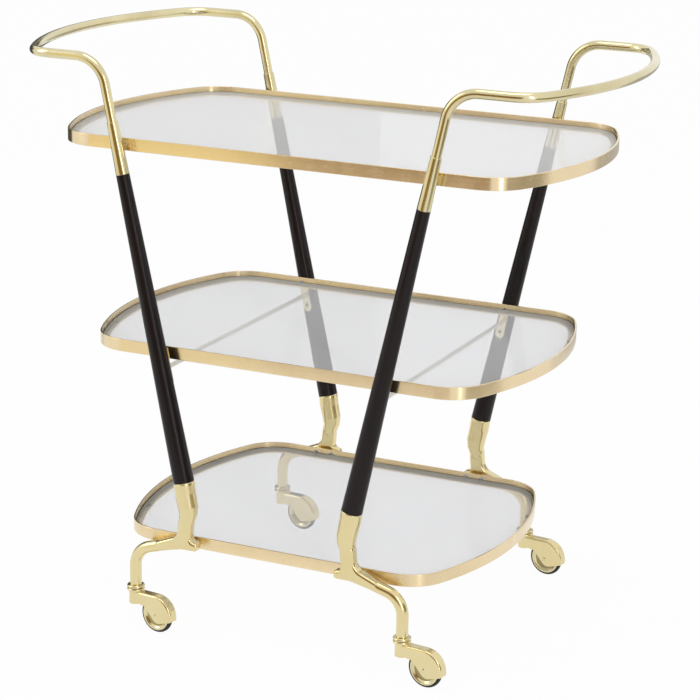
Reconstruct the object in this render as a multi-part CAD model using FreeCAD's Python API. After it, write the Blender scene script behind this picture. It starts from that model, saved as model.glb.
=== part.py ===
import FreeCAD, Part
import math
import os

# Dessert trolley in millimetres. X runs along the trays, Y across them, Z up.
# The origin is on the floor, under the middle of the trolley.

# Trays: a strip band with bowed ends round a glass pane, on a ledge inside the band.
TRAY_HALF_WIDTH = 200.0
TRAY_CORNER_RADIUS = 58.0
BAND_HEIGHT = 16.0
BAND_WALL = 2.5
BAND_EDGE_ROUND = 0.6
LEDGE_INSET = 11.0
LEDGE_THICKNESS = 2.0
LEDGE_DEPTH = 13.0          # from the band's top edge down to the ledge
PAD_DIAMETER = 8.0
PAD_THICKNESS = 1.0
PAD_SETBACK = 0.05          # from the ledge's inner edge
PADS_ALONG_SIDE = (-0.75, 0.0, 0.75)    # shares of the half length of the straight side
PADS_ALONG_END = (-0.6, 0.6)            # shares of the half angle of the bowed end
GLASS_THICKNESS = 5.0
GLASS_GAP = 0.4             # round the pane, inside the band
GLASS_ARRIS = 0.6

# Each tray: name, height of the band's top edge, half length, radius of the bowed ends.
TRAYS = (
    ("top", 645.0, 350.0, 380.0),
    ("middle", 383.0, 302.5, 410.0),
    ("bottom", 133.0, 255.0, 410.0),
)

# Legs: round tapered rods in two upright planes, leaning out towards the trolley's ends.
LEG_PLANE_Y = 213.7
BAND_FACE_Y = LEG_PLANE_Y - TRAY_HALF_WIDTH     # from a leg's plane to the bands
LEG_LEAN = math.radians(12.35)
LEG_BASE_X = 118.4
LEG_BASE_Z = 211.0
LEG_LENGTH = 400.0
LEG_BASE_RADIUS = 13.5
LEG_TOP_RADIUS = 8.5

# Upper sleeves carry on the legs, and hold the ends of the handle tubes.
SLEEVE_LENGTH = 66.0
SLEEVE_TOP_RADIUS = 7.1
SLEEVE_LIP_ROUND = 0.5
TUBE_SEAT_DEPTH = 22.0

# Handles: one bent tube across each end.
HANDLE_HEIGHT = 745.0
HANDLE_HALF_LENGTH = 390.0
HANDLE_BOW_RADIUS = 420.0
HANDLE_CORNER_RADIUS = 42.0
HANDLE_BEND_RADIUS = 42.0
TUBE_RADIUS = 6.0
TUBE_WALL = 1.5

# Studs in the ends of the legs.
HANDLE_STUD_RADIUS = 3.0
HANDLE_STUD_IN_LEG = 24.0
HANDLE_STUD_IN_SLEEVE = 16.0
FOOT_STUD_RADIUS = 4.0
FOOT_STUD_IN_LEG = 28.0
FOOT_STUD_IN_CASTING = 26.0

# Screws through the bands.
SCREW_RADIUS = 2.0
SCREW_HEAD_RADIUS = 3.75
SCREW_HEAD_DEPTH = 1.9
SCREW_LENGTH = 13.0
TOP_SCREW_Z = 637.0
MIDDLE_SCREW_Z = 375.0
TOP_SPACER_RADIUS = 5.0

# Rods under the middle tray, held by a flat bracket against each leg.
ROD_RADIUS = 3.0
ROD_Z = 355.0
BRACKET_HALF_WIDTH = 6.0
BRACKET_THICKNESS = 1.6
BRACKET_TOP_Z = 380.0
BRACKET_BOTTOM_Z = 332.0
BRACKET_HOLE_RADIUS = 2.3
BRACKET_HOLE_Z = 341.0
BRACKET_CORNER = 1.5
BRACKET_END_RADIUS = 5.99

# Foot castings: cup under the leg, T-shaped body on the band, arm and upright stem.
CUP_RADIUS = 13.7
CUP_RIM_HEIGHT = 4.0
# Round sections below the rim: centre x, centre z, radius, lean in degrees.
CUP_SECTIONS = (
    (116.0, 195.5, 13.6, 12.0),
    (112.2, 178.0, 13.1, 5.0),
    (111.8, 167.5, 11.7, -2.0),
    (113.6, 159.0, 10.0, -8.0),
)
# Oval waist under them: centre x, centre z, radius along x, radius along y, lean in degrees.
CUP_WAIST = (115.0, 153.0, 9.6, 8.6, -4.0)
BODY_THICKNESS = 15.5
BODY_EDGE_ROUND = 4.2
# Side view of the T-shaped body: x, z, corner radius.
BODY_CORNERS = (
    (104.2, 166.0, 5.3),
    (106.8, 132.5, 5.5),
    (96.5, 131.0, 4.3),
    (96.5, 120.0, 4.3),
    (120.0, 119.6, 20.0),
    (156.0, 111.6, 5.3),
    (159.5, 123.0, 5.3),
    (126.0, 137.0, 14.0),
    (123.2, 166.0, 5.3),
)
ARM_RADIUS = 7.75
ARM_START = (112.0, 130.2)
ARM_CORNER_Z = 107.5
ARM_BEND_RADIUS = 30.0
BOSS_RADIUS = 4.6
BOSS_X = (104.5, 128.0)
BOSS_Z = 126.0

# Casters: the wheel trails behind an upright kingpin.
STEM_X = 190.0
STEM_BOTTOM_Z = 58.3
COLLAR_RADIUS = 11.7
COLLAR_HEIGHT = 4.0
COLLAR_ROUND = 1.7
COLLAR_GAP = 0.3
KINGPIN_RADIUS = 4.0
KINGPIN_TOP_Z = 84.0
KINGPIN_HEAD_RADIUS = 6.0
KINGPIN_HEAD_BOTTOM_Z = 33.2
KINGPIN_HEAD_HEIGHT = 2.4
SEAT_RADIUS = 6.5
SEAT_TOP_Z = 36.0
RUNNING_FIT = 0.05          # radial clearance of a turning pin in its bore
BARREL_RADIUS = 9.0
BARREL_BOTTOM_Z = 32.5
BARREL_SETBACK = 1.0        # of the barrel's top, inside the ring round it
CASTER_TURN = -10.0         # degrees from the trolley's length, as the casters are parked
WHEEL_TRAIL = 36.0
TYRE_RADIUS = 24.0
TYRE_HALF_WIDTH = 3.4
TYRE_SEAT_RADIUS = 19.2
# Crowned tread: radius and half width of each corner above the groove.
TYRE_TREAD = ((22.6, 3.4), (23.5, 2.6), (TYRE_RADIUS, 1.4))
RIM_RADIUS = 20.6
RIM_INNER_RADIUS = 18.4
RIM_HALF_WIDTH = 4.2
DISH_RADIUS = 15.2          # foot of the slope from the rim down to the web
WEB_HALF_WIDTH = 1.5
HUB_RADIUS = 6.0
HUB_HALF_WIDTH = 5.6
HOOD_RADIUS = 27.0
HOOD_HALF_WIDTH = 7.5
HOOD_EDGE_ROUND = 3.0
HOOD_CAVITY_RADIUS = 25.0
HOOD_CAVITY_HALF_WIDTH = 5.9
HOOD_NECK_TOP = 50.0
HOOD_NECK_END = 2.0
HOOD_NECK_ANGLE = math.radians(160.0)
# Lower edge of the hood, from the neck past the axle to the back: x and z from the wheel's
# centre, corner radius.
HOOD_MOUTH = ((-16.6, 9.5, 2.5), (2.4, -11.3, 11.0), (60.0, 6.9, 0.0))
AXLE_RADIUS = 2.5
AXLE_HEAD_RADIUS = 3.4
AXLE_HEAD_HEIGHT = 0.7

# Corners of the trolley: name, side along X, side along Y (the front is -Y).
CORNERS = (
    ("front_left", -1, -1),
    ("front_right", 1, -1),
    ("back_left", -1, 1),
    ("back_right", 1, 1),
)

LEG_AXIS = FreeCAD.Vector(math.sin(LEG_LEAN), 0, math.cos(LEG_LEAN))
ALONG_Y = FreeCAD.Vector(0, 1, 0)
WHEEL_CENTRE = FreeCAD.Vector(WHEEL_TRAIL, 0, TYRE_RADIUS)
FAR = 60.0                  # reach of the cutting tools past a caster
LEVEL = 0.01                # an edge that runs less than this along an axis is square to it


def leg_point(distance):
    """Point on the leg's axis, this far up from the leg's foot, in the leg's own plane."""
    return FreeCAD.Vector(LEG_BASE_X, 0, LEG_BASE_Z) + LEG_AXIS * distance


def leg_x(height):
    """X of the leg's axis at a height above the floor."""
    return LEG_BASE_X + (height - LEG_BASE_Z) * math.tan(LEG_LEAN)


def at_corner(shape, side_x, side_y):
    """Place a part drawn for a leg's plane (X outwards, +Y towards the trays) at a corner."""
    placed = shape.copy()
    if side_y > 0:
        placed = placed.mirror(FreeCAD.Vector(), ALONG_Y)
    if side_x < 0:
        placed = placed.mirror(FreeCAD.Vector(), FreeCAD.Vector(1, 0, 0))
    placed.translate(FreeCAD.Vector(0, side_y * LEG_PLANE_Y, 0))
    return placed


def for_each_corner(shape):
    """Four placed copies of one small part, as a group of separate solids."""
    return Part.makeCompound([at_corner(shape, side_x, side_y) for _, side_x, side_y in CORNERS])


def cylinder_y(radius, x, z, start, end):
    """Cylinder along Y from start to end, with its axis through (x, z)."""
    return Part.makeCylinder(radius, end - start, FreeCAD.Vector(x, start, z), ALONG_Y)


def arc(centre, radius, start, end, z):
    """Level arc round a centre (x, y) from angle start to angle end, in radians."""
    points = []
    for angle in (start, (start + end) / 2, end):
        points.append(FreeCAD.Vector(centre[0] + radius * math.cos(angle),
                                     centre[1] + radius * math.sin(angle), z))
    return Part.Arc(*points).toShape()


def rounded_wire(corners, y=0.0):
    """Closed wire in an XZ plane through (x, z, radius) corners, each with a tangent arc."""
    edges = []
    last_end = None
    first_start = None
    for index, (x, z, radius) in enumerate(corners):
        here = FreeCAD.Vector(x, y, z)
        before = FreeCAD.Vector(corners[index - 1][0], y, corners[index - 1][1])
        after_corner = corners[(index + 1) % len(corners)]
        after = FreeCAD.Vector(after_corner[0], y, after_corner[1])
        back = (before - here).normalize()
        ahead = (after - here).normalize()
        half_angle = back.getAngle(ahead) / 2
        run = radius / math.tan(half_angle)
        start = here + back * run
        end = here + ahead * run
        if last_end is not None:
            edges.append(Part.makeLine(last_end, start))
        else:
            first_start = start
        if radius > 0:
            inward = (back + ahead).normalize()
            middle = here + inward * (radius / math.sin(half_angle) - radius)
            edges.append(Part.Arc(start, middle, end).toShape())
        last_end = end
    edges.append(Part.makeLine(last_end, first_start))
    return Part.Wire(edges)


def plate_y(wire, start, end):
    """Solid between two Y planes from a closed XZ wire drawn at Y = 0."""
    face = Part.Face(wire)
    face.translate(FreeCAD.Vector(0, start, 0))
    return face.extrude(FreeCAD.Vector(0, end - start, 0))


def bow_geometry(half_length, bow_radius, half_width, corner_radius):
    """Centre of the bowed end and of its rounded corner, and the angle where they meet."""
    bow_x = half_length - bow_radius
    corner_y = half_width - corner_radius
    corner_x = bow_x + math.sqrt((bow_radius - corner_radius) ** 2 - corner_y ** 2)
    meeting = math.atan2(corner_y, corner_x - bow_x)
    return bow_x, corner_x, corner_y, meeting


def tray_outline(half_length, bow_radius, inset, z):
    """Level outline of a tray, moved inwards by inset: straight sides and bowed ends."""
    bow_x, corner_x, corner_y, meeting = bow_geometry(
        half_length, bow_radius, TRAY_HALF_WIDTH, TRAY_CORNER_RADIUS)
    bow = bow_radius - inset
    corner = TRAY_CORNER_RADIUS - inset
    half_width = TRAY_HALF_WIDTH - inset
    right_angle = math.pi / 2
    edges = [
        Part.makeLine(FreeCAD.Vector(-corner_x, -half_width, z),
                      FreeCAD.Vector(corner_x, -half_width, z)),
        arc((corner_x, -corner_y), corner, -right_angle, -meeting, z),
        arc((bow_x, 0), bow, -meeting, meeting, z),
        arc((corner_x, corner_y), corner, meeting, right_angle, z),
        Part.makeLine(FreeCAD.Vector(corner_x, half_width, z),
                      FreeCAD.Vector(-corner_x, half_width, z)),
        arc((-corner_x, corner_y), corner, right_angle, math.pi - meeting, z),
        arc((-bow_x, 0), bow, math.pi - meeting, math.pi + meeting, z),
        arc((-corner_x, -corner_y), corner, math.pi + meeting, 3 * right_angle, z),
    ]
    return Part.Wire(edges)


def tray_prism(half_length, bow_radius, inset, bottom, top):
    """Solid of the tray's outline between two heights."""
    face = Part.Face(tray_outline(half_length, bow_radius, inset, bottom))
    return face.extrude(FreeCAD.Vector(0, 0, top - bottom))


def screw(x, z):
    """Countersunk screw from inside the band into the leg's plane, flush with the wall."""
    point = FreeCAD.Vector(x, BAND_FACE_Y + BAND_WALL, z)
    head = Part.makeCone(SCREW_HEAD_RADIUS, SCREW_RADIUS, SCREW_HEAD_DEPTH, point, -ALONG_Y)
    shank = Part.makeCylinder(SCREW_RADIUS, SCREW_LENGTH, point, -ALONG_Y)
    return head.fuse(shank).removeSplitter()


def make_band(top_z, half_length, bow_radius, screws):
    """Band with its inner ledge, and the countersunk holes of its screws."""
    bottom_z = top_z - BAND_HEIGHT
    ledge_top = top_z - LEDGE_DEPTH
    ledge_bottom = ledge_top - LEDGE_THICKNESS
    band = tray_prism(half_length, bow_radius, 0, bottom_z, top_z)
    band = band.cut(tray_prism(half_length, bow_radius, BAND_WALL, ledge_top, top_z))
    band = band.cut(tray_prism(half_length, bow_radius, BAND_WALL, bottom_z, ledge_bottom))
    band = band.cut(tray_prism(half_length, bow_radius, LEDGE_INSET, ledge_bottom, ledge_top))
    rims = []
    for edge in band.Edges:
        box = edge.BoundBox
        at_rim = min(abs(box.ZMin - top_z), abs(box.ZMin - bottom_z)) < LEVEL
        if box.ZLength < LEVEL and at_rim:
            rims.append(edge)
    band = band.makeFillet(BAND_EDGE_ROUND, rims)
    return band.cut(screws)


def make_glass(top_z, half_length, bow_radius):
    """Pane that lies on the pads inside the band, with its sharp edges taken off."""
    bottom = top_z - LEDGE_DEPTH + PAD_THICKNESS
    inset = BAND_WALL + GLASS_GAP
    pane = tray_prism(half_length, bow_radius, inset, bottom, bottom + GLASS_THICKNESS)
    edges = [edge for edge in pane.Edges if edge.BoundBox.ZLength < LEVEL]
    return pane.makeChamfer(GLASS_ARRIS, edges)


def make_pads(top_z, half_length, bow_radius):
    """Soft pads between the ledge and the pane."""
    inset = LEDGE_INSET - PAD_SETBACK - PAD_DIAMETER / 2
    bow_x, corner_x, _, meeting = bow_geometry(
        half_length, bow_radius, TRAY_HALF_WIDTH, TRAY_CORNER_RADIUS)
    reach = bow_radius - inset
    spots = []
    for side in (-1, 1):
        for share in PADS_ALONG_SIDE:
            spots.append((share * corner_x, side * (TRAY_HALF_WIDTH - inset)))
        for share in PADS_ALONG_END:
            angle = share * meeting
            spots.append((side * (bow_x + reach * math.cos(angle)), reach * math.sin(angle)))
    ledge_top = top_z - LEDGE_DEPTH
    pads = []
    for x, y in spots:
        pads.append(Part.makeCylinder(PAD_DIAMETER / 2, PAD_THICKNESS,
                                      FreeCAD.Vector(x, y, ledge_top)))
    return Part.makeCompound(pads)


def make_handle():
    """Bent tube of the right-hand end, from one sleeve round to the other."""
    start = leg_point(LEG_LENGTH + SLEEVE_LENGTH - TUBE_SEAT_DEPTH)
    bend = leg_point((HANDLE_HEIGHT - LEG_BASE_Z) / math.cos(LEG_LEAN))
    turn = math.pi / 2 - LEG_LEAN
    run = HANDLE_BEND_RADIUS * math.tan(turn / 2)
    rise_end = bend - LEG_AXIS * run
    level_start = bend + FreeCAD.Vector(run, 0, 0)
    bend_centre = level_start - FreeCAD.Vector(0, 0, HANDLE_BEND_RADIUS)
    halfway = (rise_end + level_start) * 0.5
    bend_middle = bend_centre + (halfway - bend_centre).normalize() * HANDLE_BEND_RADIUS
    bow_x, corner_x, corner_y, meeting = bow_geometry(
        HANDLE_HALF_LENGTH, HANDLE_BOW_RADIUS, LEG_PLANE_Y, HANDLE_CORNER_RADIUS)
    front = FreeCAD.Vector(0, -LEG_PLANE_Y, 0)
    back = FreeCAD.Vector(0, LEG_PLANE_Y, 0)
    corner_start = FreeCAD.Vector(corner_x, 0, HANDLE_HEIGHT)
    right_angle = math.pi / 2
    edges = [
        Part.makeLine(start + front, rise_end + front),
        Part.Arc(rise_end + front, bend_middle + front, level_start + front).toShape(),
        Part.makeLine(level_start + front, corner_start + front),
        arc((corner_x, -corner_y), HANDLE_CORNER_RADIUS, -right_angle, -meeting, HANDLE_HEIGHT),
        arc((bow_x, 0), HANDLE_BOW_RADIUS, -meeting, meeting, HANDLE_HEIGHT),
        arc((corner_x, corner_y), HANDLE_CORNER_RADIUS, meeting, right_angle, HANDLE_HEIGHT),
        Part.makeLine(corner_start + back, level_start + back),
        Part.Arc(level_start + back, bend_middle + back, rise_end + back).toShape(),
        Part.makeLine(rise_end + back, start + back),
    ]
    path = Part.Wire(edges)
    tubes = []
    for radius in (TUBE_RADIUS, TUBE_RADIUS - TUBE_WALL):
        ring = Part.Wire([Part.makeCircle(radius, start + front, LEG_AXIS)])
        tubes.append(path.makePipeShell([ring], True, False))
    return tubes[0].cut(tubes[1])


def make_sleeve():
    """Tapered sleeve on top of a leg, bored for the handle tube, the stud and the screw."""
    base = leg_point(LEG_LENGTH)
    sleeve = Part.makeCone(LEG_TOP_RADIUS, SLEEVE_TOP_RADIUS, SLEEVE_LENGTH, base, LEG_AXIS)
    rim = [edge for edge in sleeve.Edges if edge.BoundBox.ZMin > base.z + SLEEVE_LENGTH / 2]
    sleeve = sleeve.makeFillet(SLEEVE_LIP_ROUND, rim)
    seat = leg_point(LEG_LENGTH + SLEEVE_LENGTH - TUBE_SEAT_DEPTH)
    sleeve = sleeve.cut(Part.makeCylinder(TUBE_RADIUS, TUBE_SEAT_DEPTH + 1, seat, LEG_AXIS))
    sleeve = sleeve.cut(make_handle_stud())
    return sleeve.cut(screw(leg_x(TOP_SCREW_Z), TOP_SCREW_Z))


def make_top_spacer():
    """Short round spacer between the top band and a sleeve, hollowed to fit the sleeve."""
    x = leg_x(TOP_SCREW_Z)
    spacer = cylinder_y(TOP_SPACER_RADIUS, x, TOP_SCREW_Z, 0, BAND_FACE_Y)
    spacer = spacer.cut(Part.makeCone(LEG_TOP_RADIUS, SLEEVE_TOP_RADIUS, SLEEVE_LENGTH,
                                      leg_point(LEG_LENGTH), LEG_AXIS))
    return spacer.cut(screw(x, TOP_SCREW_Z))


def make_handle_stud():
    """Stud that joins a sleeve to the top of its leg."""
    return Part.makeCylinder(HANDLE_STUD_RADIUS, HANDLE_STUD_IN_LEG + HANDLE_STUD_IN_SLEEVE,
                             leg_point(LEG_LENGTH - HANDLE_STUD_IN_LEG), LEG_AXIS)


def make_foot_stud():
    """Stud that joins the foot of a leg to its casting."""
    return Part.makeCylinder(FOOT_STUD_RADIUS, FOOT_STUD_IN_LEG + FOOT_STUD_IN_CASTING,
                             leg_point(-FOOT_STUD_IN_CASTING), LEG_AXIS)


def make_leg():
    """Tapered leg with its stud bores and the hole of the middle band's screw."""
    leg = Part.makeCone(LEG_BASE_RADIUS, LEG_TOP_RADIUS, LEG_LENGTH, leg_point(0), LEG_AXIS)
    leg = leg.cut(make_handle_stud())
    leg = leg.cut(make_foot_stud())
    return leg.cut(screw(leg_x(MIDDLE_SCREW_Z), MIDDLE_SCREW_Z))


def make_bracket():
    """Flat bracket between the middle band and a leg, with the seat of a rod's end."""
    across = FreeCAD.Vector(math.cos(LEG_LEAN), 0, -math.sin(LEG_LEAN))
    corners = []
    for height, side, radius in ((BRACKET_TOP_Z, -1, BRACKET_CORNER),
                                 (BRACKET_TOP_Z, 1, BRACKET_CORNER),
                                 (BRACKET_BOTTOM_Z, 1, BRACKET_END_RADIUS),
                                 (BRACKET_BOTTOM_Z, -1, BRACKET_END_RADIUS)):
        point = FreeCAD.Vector(leg_x(height), 0, height) + across * side * BRACKET_HALF_WIDTH
        corners.append((point.x, point.z, radius))
    bracket = plate_y(rounded_wire(corners), BAND_FACE_Y - BRACKET_THICKNESS, BAND_FACE_Y)
    bracket = bracket.cut(screw(leg_x(MIDDLE_SCREW_Z), MIDDLE_SCREW_Z))
    for radius, height in ((ROD_RADIUS, ROD_Z), (BRACKET_HOLE_RADIUS, BRACKET_HOLE_Z)):
        bracket = bracket.cut(cylinder_y(radius, leg_x(height), height, 0, LEG_PLANE_Y))
    return bracket


def make_rod(side_x):
    """Round rod across the trolley under the middle tray."""
    reach = TRAY_HALF_WIDTH + BRACKET_THICKNESS
    return cylinder_y(ROD_RADIUS, side_x * leg_x(ROD_Z), ROD_Z, -reach, reach)


def make_cup():
    """Upper part of a casting: the socket under the leg, narrowing to the waist."""
    rings = [Part.makeCircle(CUP_RADIUS, leg_point(0), LEG_AXIS),
             Part.makeCircle(CUP_RADIUS, leg_point(-CUP_RIM_HEIGHT), LEG_AXIS)]
    for x, z, radius, lean in CUP_SECTIONS:
        tilt = math.radians(lean)
        axis = FreeCAD.Vector(math.sin(tilt), 0, math.cos(tilt))
        rings.append(Part.makeCircle(radius, FreeCAD.Vector(x, 0, z), axis))
    x, z, radius_x, radius_y, lean = CUP_WAIST
    tilt = math.radians(lean)
    centre = FreeCAD.Vector(x, 0, z)
    across = FreeCAD.Vector(math.cos(tilt), 0, -math.sin(tilt))
    rings.append(Part.Ellipse(centre + across * radius_x, centre + ALONG_Y * radius_y,
                              centre).toShape())
    return Part.makeLoft([Part.Wire([ring]) for ring in rings], True, False)


def make_body():
    """T-shaped body of a casting, which lies along the bottom band."""
    half = BODY_THICKNESS / 2
    body = plate_y(rounded_wire(BODY_CORNERS), -half, half)
    soft = [edge for edge in body.Edges if edge.BoundBox.YLength < LEVEL]
    return body.makeFillet(BODY_EDGE_ROUND, soft)


def make_arm():
    """Arm of a casting: a round bar out to the corner and down to the caster."""
    start = FreeCAD.Vector(ARM_START[0], 0, ARM_START[1])
    corner = FreeCAD.Vector(STEM_X, 0, ARM_CORNER_Z)
    end = FreeCAD.Vector(STEM_X, 0, STEM_BOTTOM_Z)
    back = (start - corner).normalize()
    down = (end - corner).normalize()
    half_angle = back.getAngle(down) / 2
    run = ARM_BEND_RADIUS / math.tan(half_angle)
    middle = corner + (back + down).normalize() * (
        ARM_BEND_RADIUS / math.sin(half_angle) - ARM_BEND_RADIUS)
    path = Part.Wire([
        Part.makeLine(start, corner + back * run),
        Part.Arc(corner + back * run, middle, corner + down * run).toShape(),
        Part.makeLine(corner + down * run, end),
    ])
    ring = Part.Wire([Part.makeCircle(ARM_RADIUS, start, -back)])
    return path.makePipeShell([ring], True, False)


def foot_screws():
    """The two screws that hold a casting to the bottom band."""
    return [screw(x, BOSS_Z) for x in BOSS_X]


def make_foot():
    """Foot casting: cup, body, arm and stem in one piece, with two bosses to the band."""
    foot = make_body().fuse([make_cup(), make_arm()])
    for x in BOSS_X:
        foot = foot.fuse(cylinder_y(BOSS_RADIUS, x, BOSS_Z, 0, BAND_FACE_Y))
    foot = foot.removeSplitter()
    foot = foot.cut(make_foot_stud())
    for fastener in foot_screws():
        foot = foot.cut(fastener)
    bore = Part.makeCylinder(KINGPIN_RADIUS, KINGPIN_TOP_Z - STEM_BOTTOM_Z,
                             FreeCAD.Vector(STEM_X, 0, STEM_BOTTOM_Z))
    return foot.cut(bore)


def rounded_ring(bottom):
    """Ring with a rounded rim, round the kingpin."""
    ring = Part.makeCylinder(COLLAR_RADIUS, COLLAR_HEIGHT, FreeCAD.Vector(0, 0, bottom))
    rims = [edge for edge in ring.Edges if edge.BoundBox.ZLength < LEVEL]
    return ring.makeFillet(COLLAR_ROUND, rims)


def make_collar():
    """Fixed collar between the casting's stem and the caster."""
    bottom = STEM_BOTTOM_Z - COLLAR_HEIGHT
    return rounded_ring(bottom).cut(make_kingpin())


def make_kingpin():
    """Pin that the caster swivels on, with a head under the barrel."""
    pin = Part.makeCylinder(KINGPIN_RADIUS, KINGPIN_TOP_Z - KINGPIN_HEAD_BOTTOM_Z,
                            FreeCAD.Vector(0, 0, KINGPIN_HEAD_BOTTOM_Z))
    head = Part.makeCylinder(KINGPIN_HEAD_RADIUS, KINGPIN_HEAD_HEIGHT,
                             FreeCAD.Vector(0, 0, KINGPIN_HEAD_BOTTOM_Z))
    return pin.fuse(head).removeSplitter()


def make_hood_blank():
    """Teardrop of the hood before it is hollowed, with its outer rims rounded."""
    to_neck = FreeCAD.Vector(0, 0, HOOD_NECK_TOP) - WHEEL_CENTRE
    away = math.atan2(to_neck.z, to_neck.x)
    touch = away - math.acos(HOOD_RADIUS / to_neck.Length)

    def rim_point(angle):
        return WHEEL_CENTRE + FreeCAD.Vector(math.cos(angle), 0, math.sin(angle)) * HOOD_RADIUS

    under = rim_point(HOOD_NECK_ANGLE)
    slope = (rim_point(touch) - FreeCAD.Vector(0, 0, HOOD_NECK_TOP)).normalize()
    over = FreeCAD.Vector(0, 0, HOOD_NECK_TOP) + slope * HOOD_NECK_END
    middle = (touch + HOOD_NECK_ANGLE - 2 * math.pi) / 2
    wire = Part.Wire([
        Part.makeLine(over, rim_point(touch)),
        Part.Arc(rim_point(touch), rim_point(middle), under).toShape(),
        Part.makeLine(under, FreeCAD.Vector(HOOD_NECK_END, 0, under.z)),
        Part.makeLine(FreeCAD.Vector(HOOD_NECK_END, 0, under.z), over),
    ])
    blank = plate_y(wire, -HOOD_HALF_WIDTH, HOOD_HALF_WIDTH)
    rims = []
    for edge in blank.Edges:
        box = edge.BoundBox
        if box.YLength < LEVEL and box.XMax > BARREL_RADIUS:
            rims.append(edge)
    return blank.makeFillet(HOOD_EDGE_ROUND, rims).cut(make_mouth())


def make_mouth():
    """What is cut away under the hood, so that the wheel shows below its cheeks."""
    corners = [(-FAR, -FAR, 0.0), (-FAR, HOOD_MOUTH[0][1], 0.0)]
    corners += list(HOOD_MOUTH)
    corners.append((HOOD_MOUTH[-1][0], -FAR, 0.0))
    placed = [(WHEEL_CENTRE.x + x, WHEEL_CENTRE.z + z, radius) for x, z, radius in corners]
    return plate_y(rounded_wire(placed), -FAR / 2, FAR / 2)


def make_hood():
    """Caster hood: barrel, teardrop cover and two cheeks that carry the axle."""
    top = STEM_BOTTOM_Z - COLLAR_HEIGHT - COLLAR_GAP
    barrel = Part.makeCylinder(BARREL_RADIUS, top - BARREL_SETBACK - BARREL_BOTTOM_Z,
                               FreeCAD.Vector(0, 0, BARREL_BOTTOM_Z))
    hood = make_hood_blank().fuse([barrel, rounded_ring(top - COLLAR_HEIGHT)]).removeSplitter()
    hood = hood.cut(cylinder_y(HOOD_CAVITY_RADIUS, WHEEL_CENTRE.x, WHEEL_CENTRE.z,
                               -HOOD_CAVITY_HALF_WIDTH, HOOD_CAVITY_HALF_WIDTH))
    bore = Part.makeCylinder(KINGPIN_RADIUS + RUNNING_FIT, FAR)
    seat = Part.makeCylinder(SEAT_RADIUS, SEAT_TOP_Z - BARREL_BOTTOM_Z,
                             FreeCAD.Vector(0, 0, BARREL_BOTTOM_Z))
    return hood.cut([bore, seat, make_axle()])


def make_axle():
    """Axle riveted through the cheeks of the hood."""
    x, z = WHEEL_CENTRE.x, WHEEL_CENTRE.z
    end = HOOD_HALF_WIDTH
    axle = cylinder_y(AXLE_RADIUS, x, z, -end, end)
    for start in (-end - AXLE_HEAD_HEIGHT, end):
        axle = axle.fuse(cylinder_y(AXLE_HEAD_RADIUS, x, z, start, start + AXLE_HEAD_HEIGHT))
    return axle.removeSplitter()


def turned_about_axle(corners):
    """Solid of revolution about the wheel's axis from (radius, y) corners of half its section."""
    section = [FreeCAD.Vector(radius, y, 0) for radius, y in corners]
    section += [FreeCAD.Vector(radius, -y, 0) for radius, y in reversed(corners)]
    face = Part.Face(Part.makePolygon(section + section[:1]))
    solid = face.revolve(FreeCAD.Vector(), ALONG_Y, 360)
    solid.translate(WHEEL_CENTRE)
    return solid


def make_wheel():
    """Wheel turned from brass: hub, thin web, dished rim and a groove for the tyre."""
    return turned_about_axle((
        (AXLE_RADIUS + RUNNING_FIT, HUB_HALF_WIDTH),
        (HUB_RADIUS, HUB_HALF_WIDTH),
        (HUB_RADIUS, WEB_HALF_WIDTH),
        (DISH_RADIUS, WEB_HALF_WIDTH),
        (RIM_INNER_RADIUS, RIM_HALF_WIDTH),
        (RIM_RADIUS, RIM_HALF_WIDTH),
        (RIM_RADIUS, TYRE_HALF_WIDTH),
        (TYRE_SEAT_RADIUS, TYRE_HALF_WIDTH),
    ))


def make_tyre():
    """Solid tyre in the wheel's groove, with a crowned tread."""
    return turned_about_axle(((TYRE_SEAT_RADIUS, TYRE_HALF_WIDTH),) + TYRE_TREAD)


def caster_parts():
    """The six pieces of one caster, drawn round its own kingpin and trailing along +X."""
    return {
        "kingpin": make_kingpin(),
        "swivel_collar": make_collar(),
        "caster_hood": make_hood(),
        "axle": make_axle(),
        "wheel": make_wheel(),
        "tyre": make_tyre(),
    }


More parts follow.
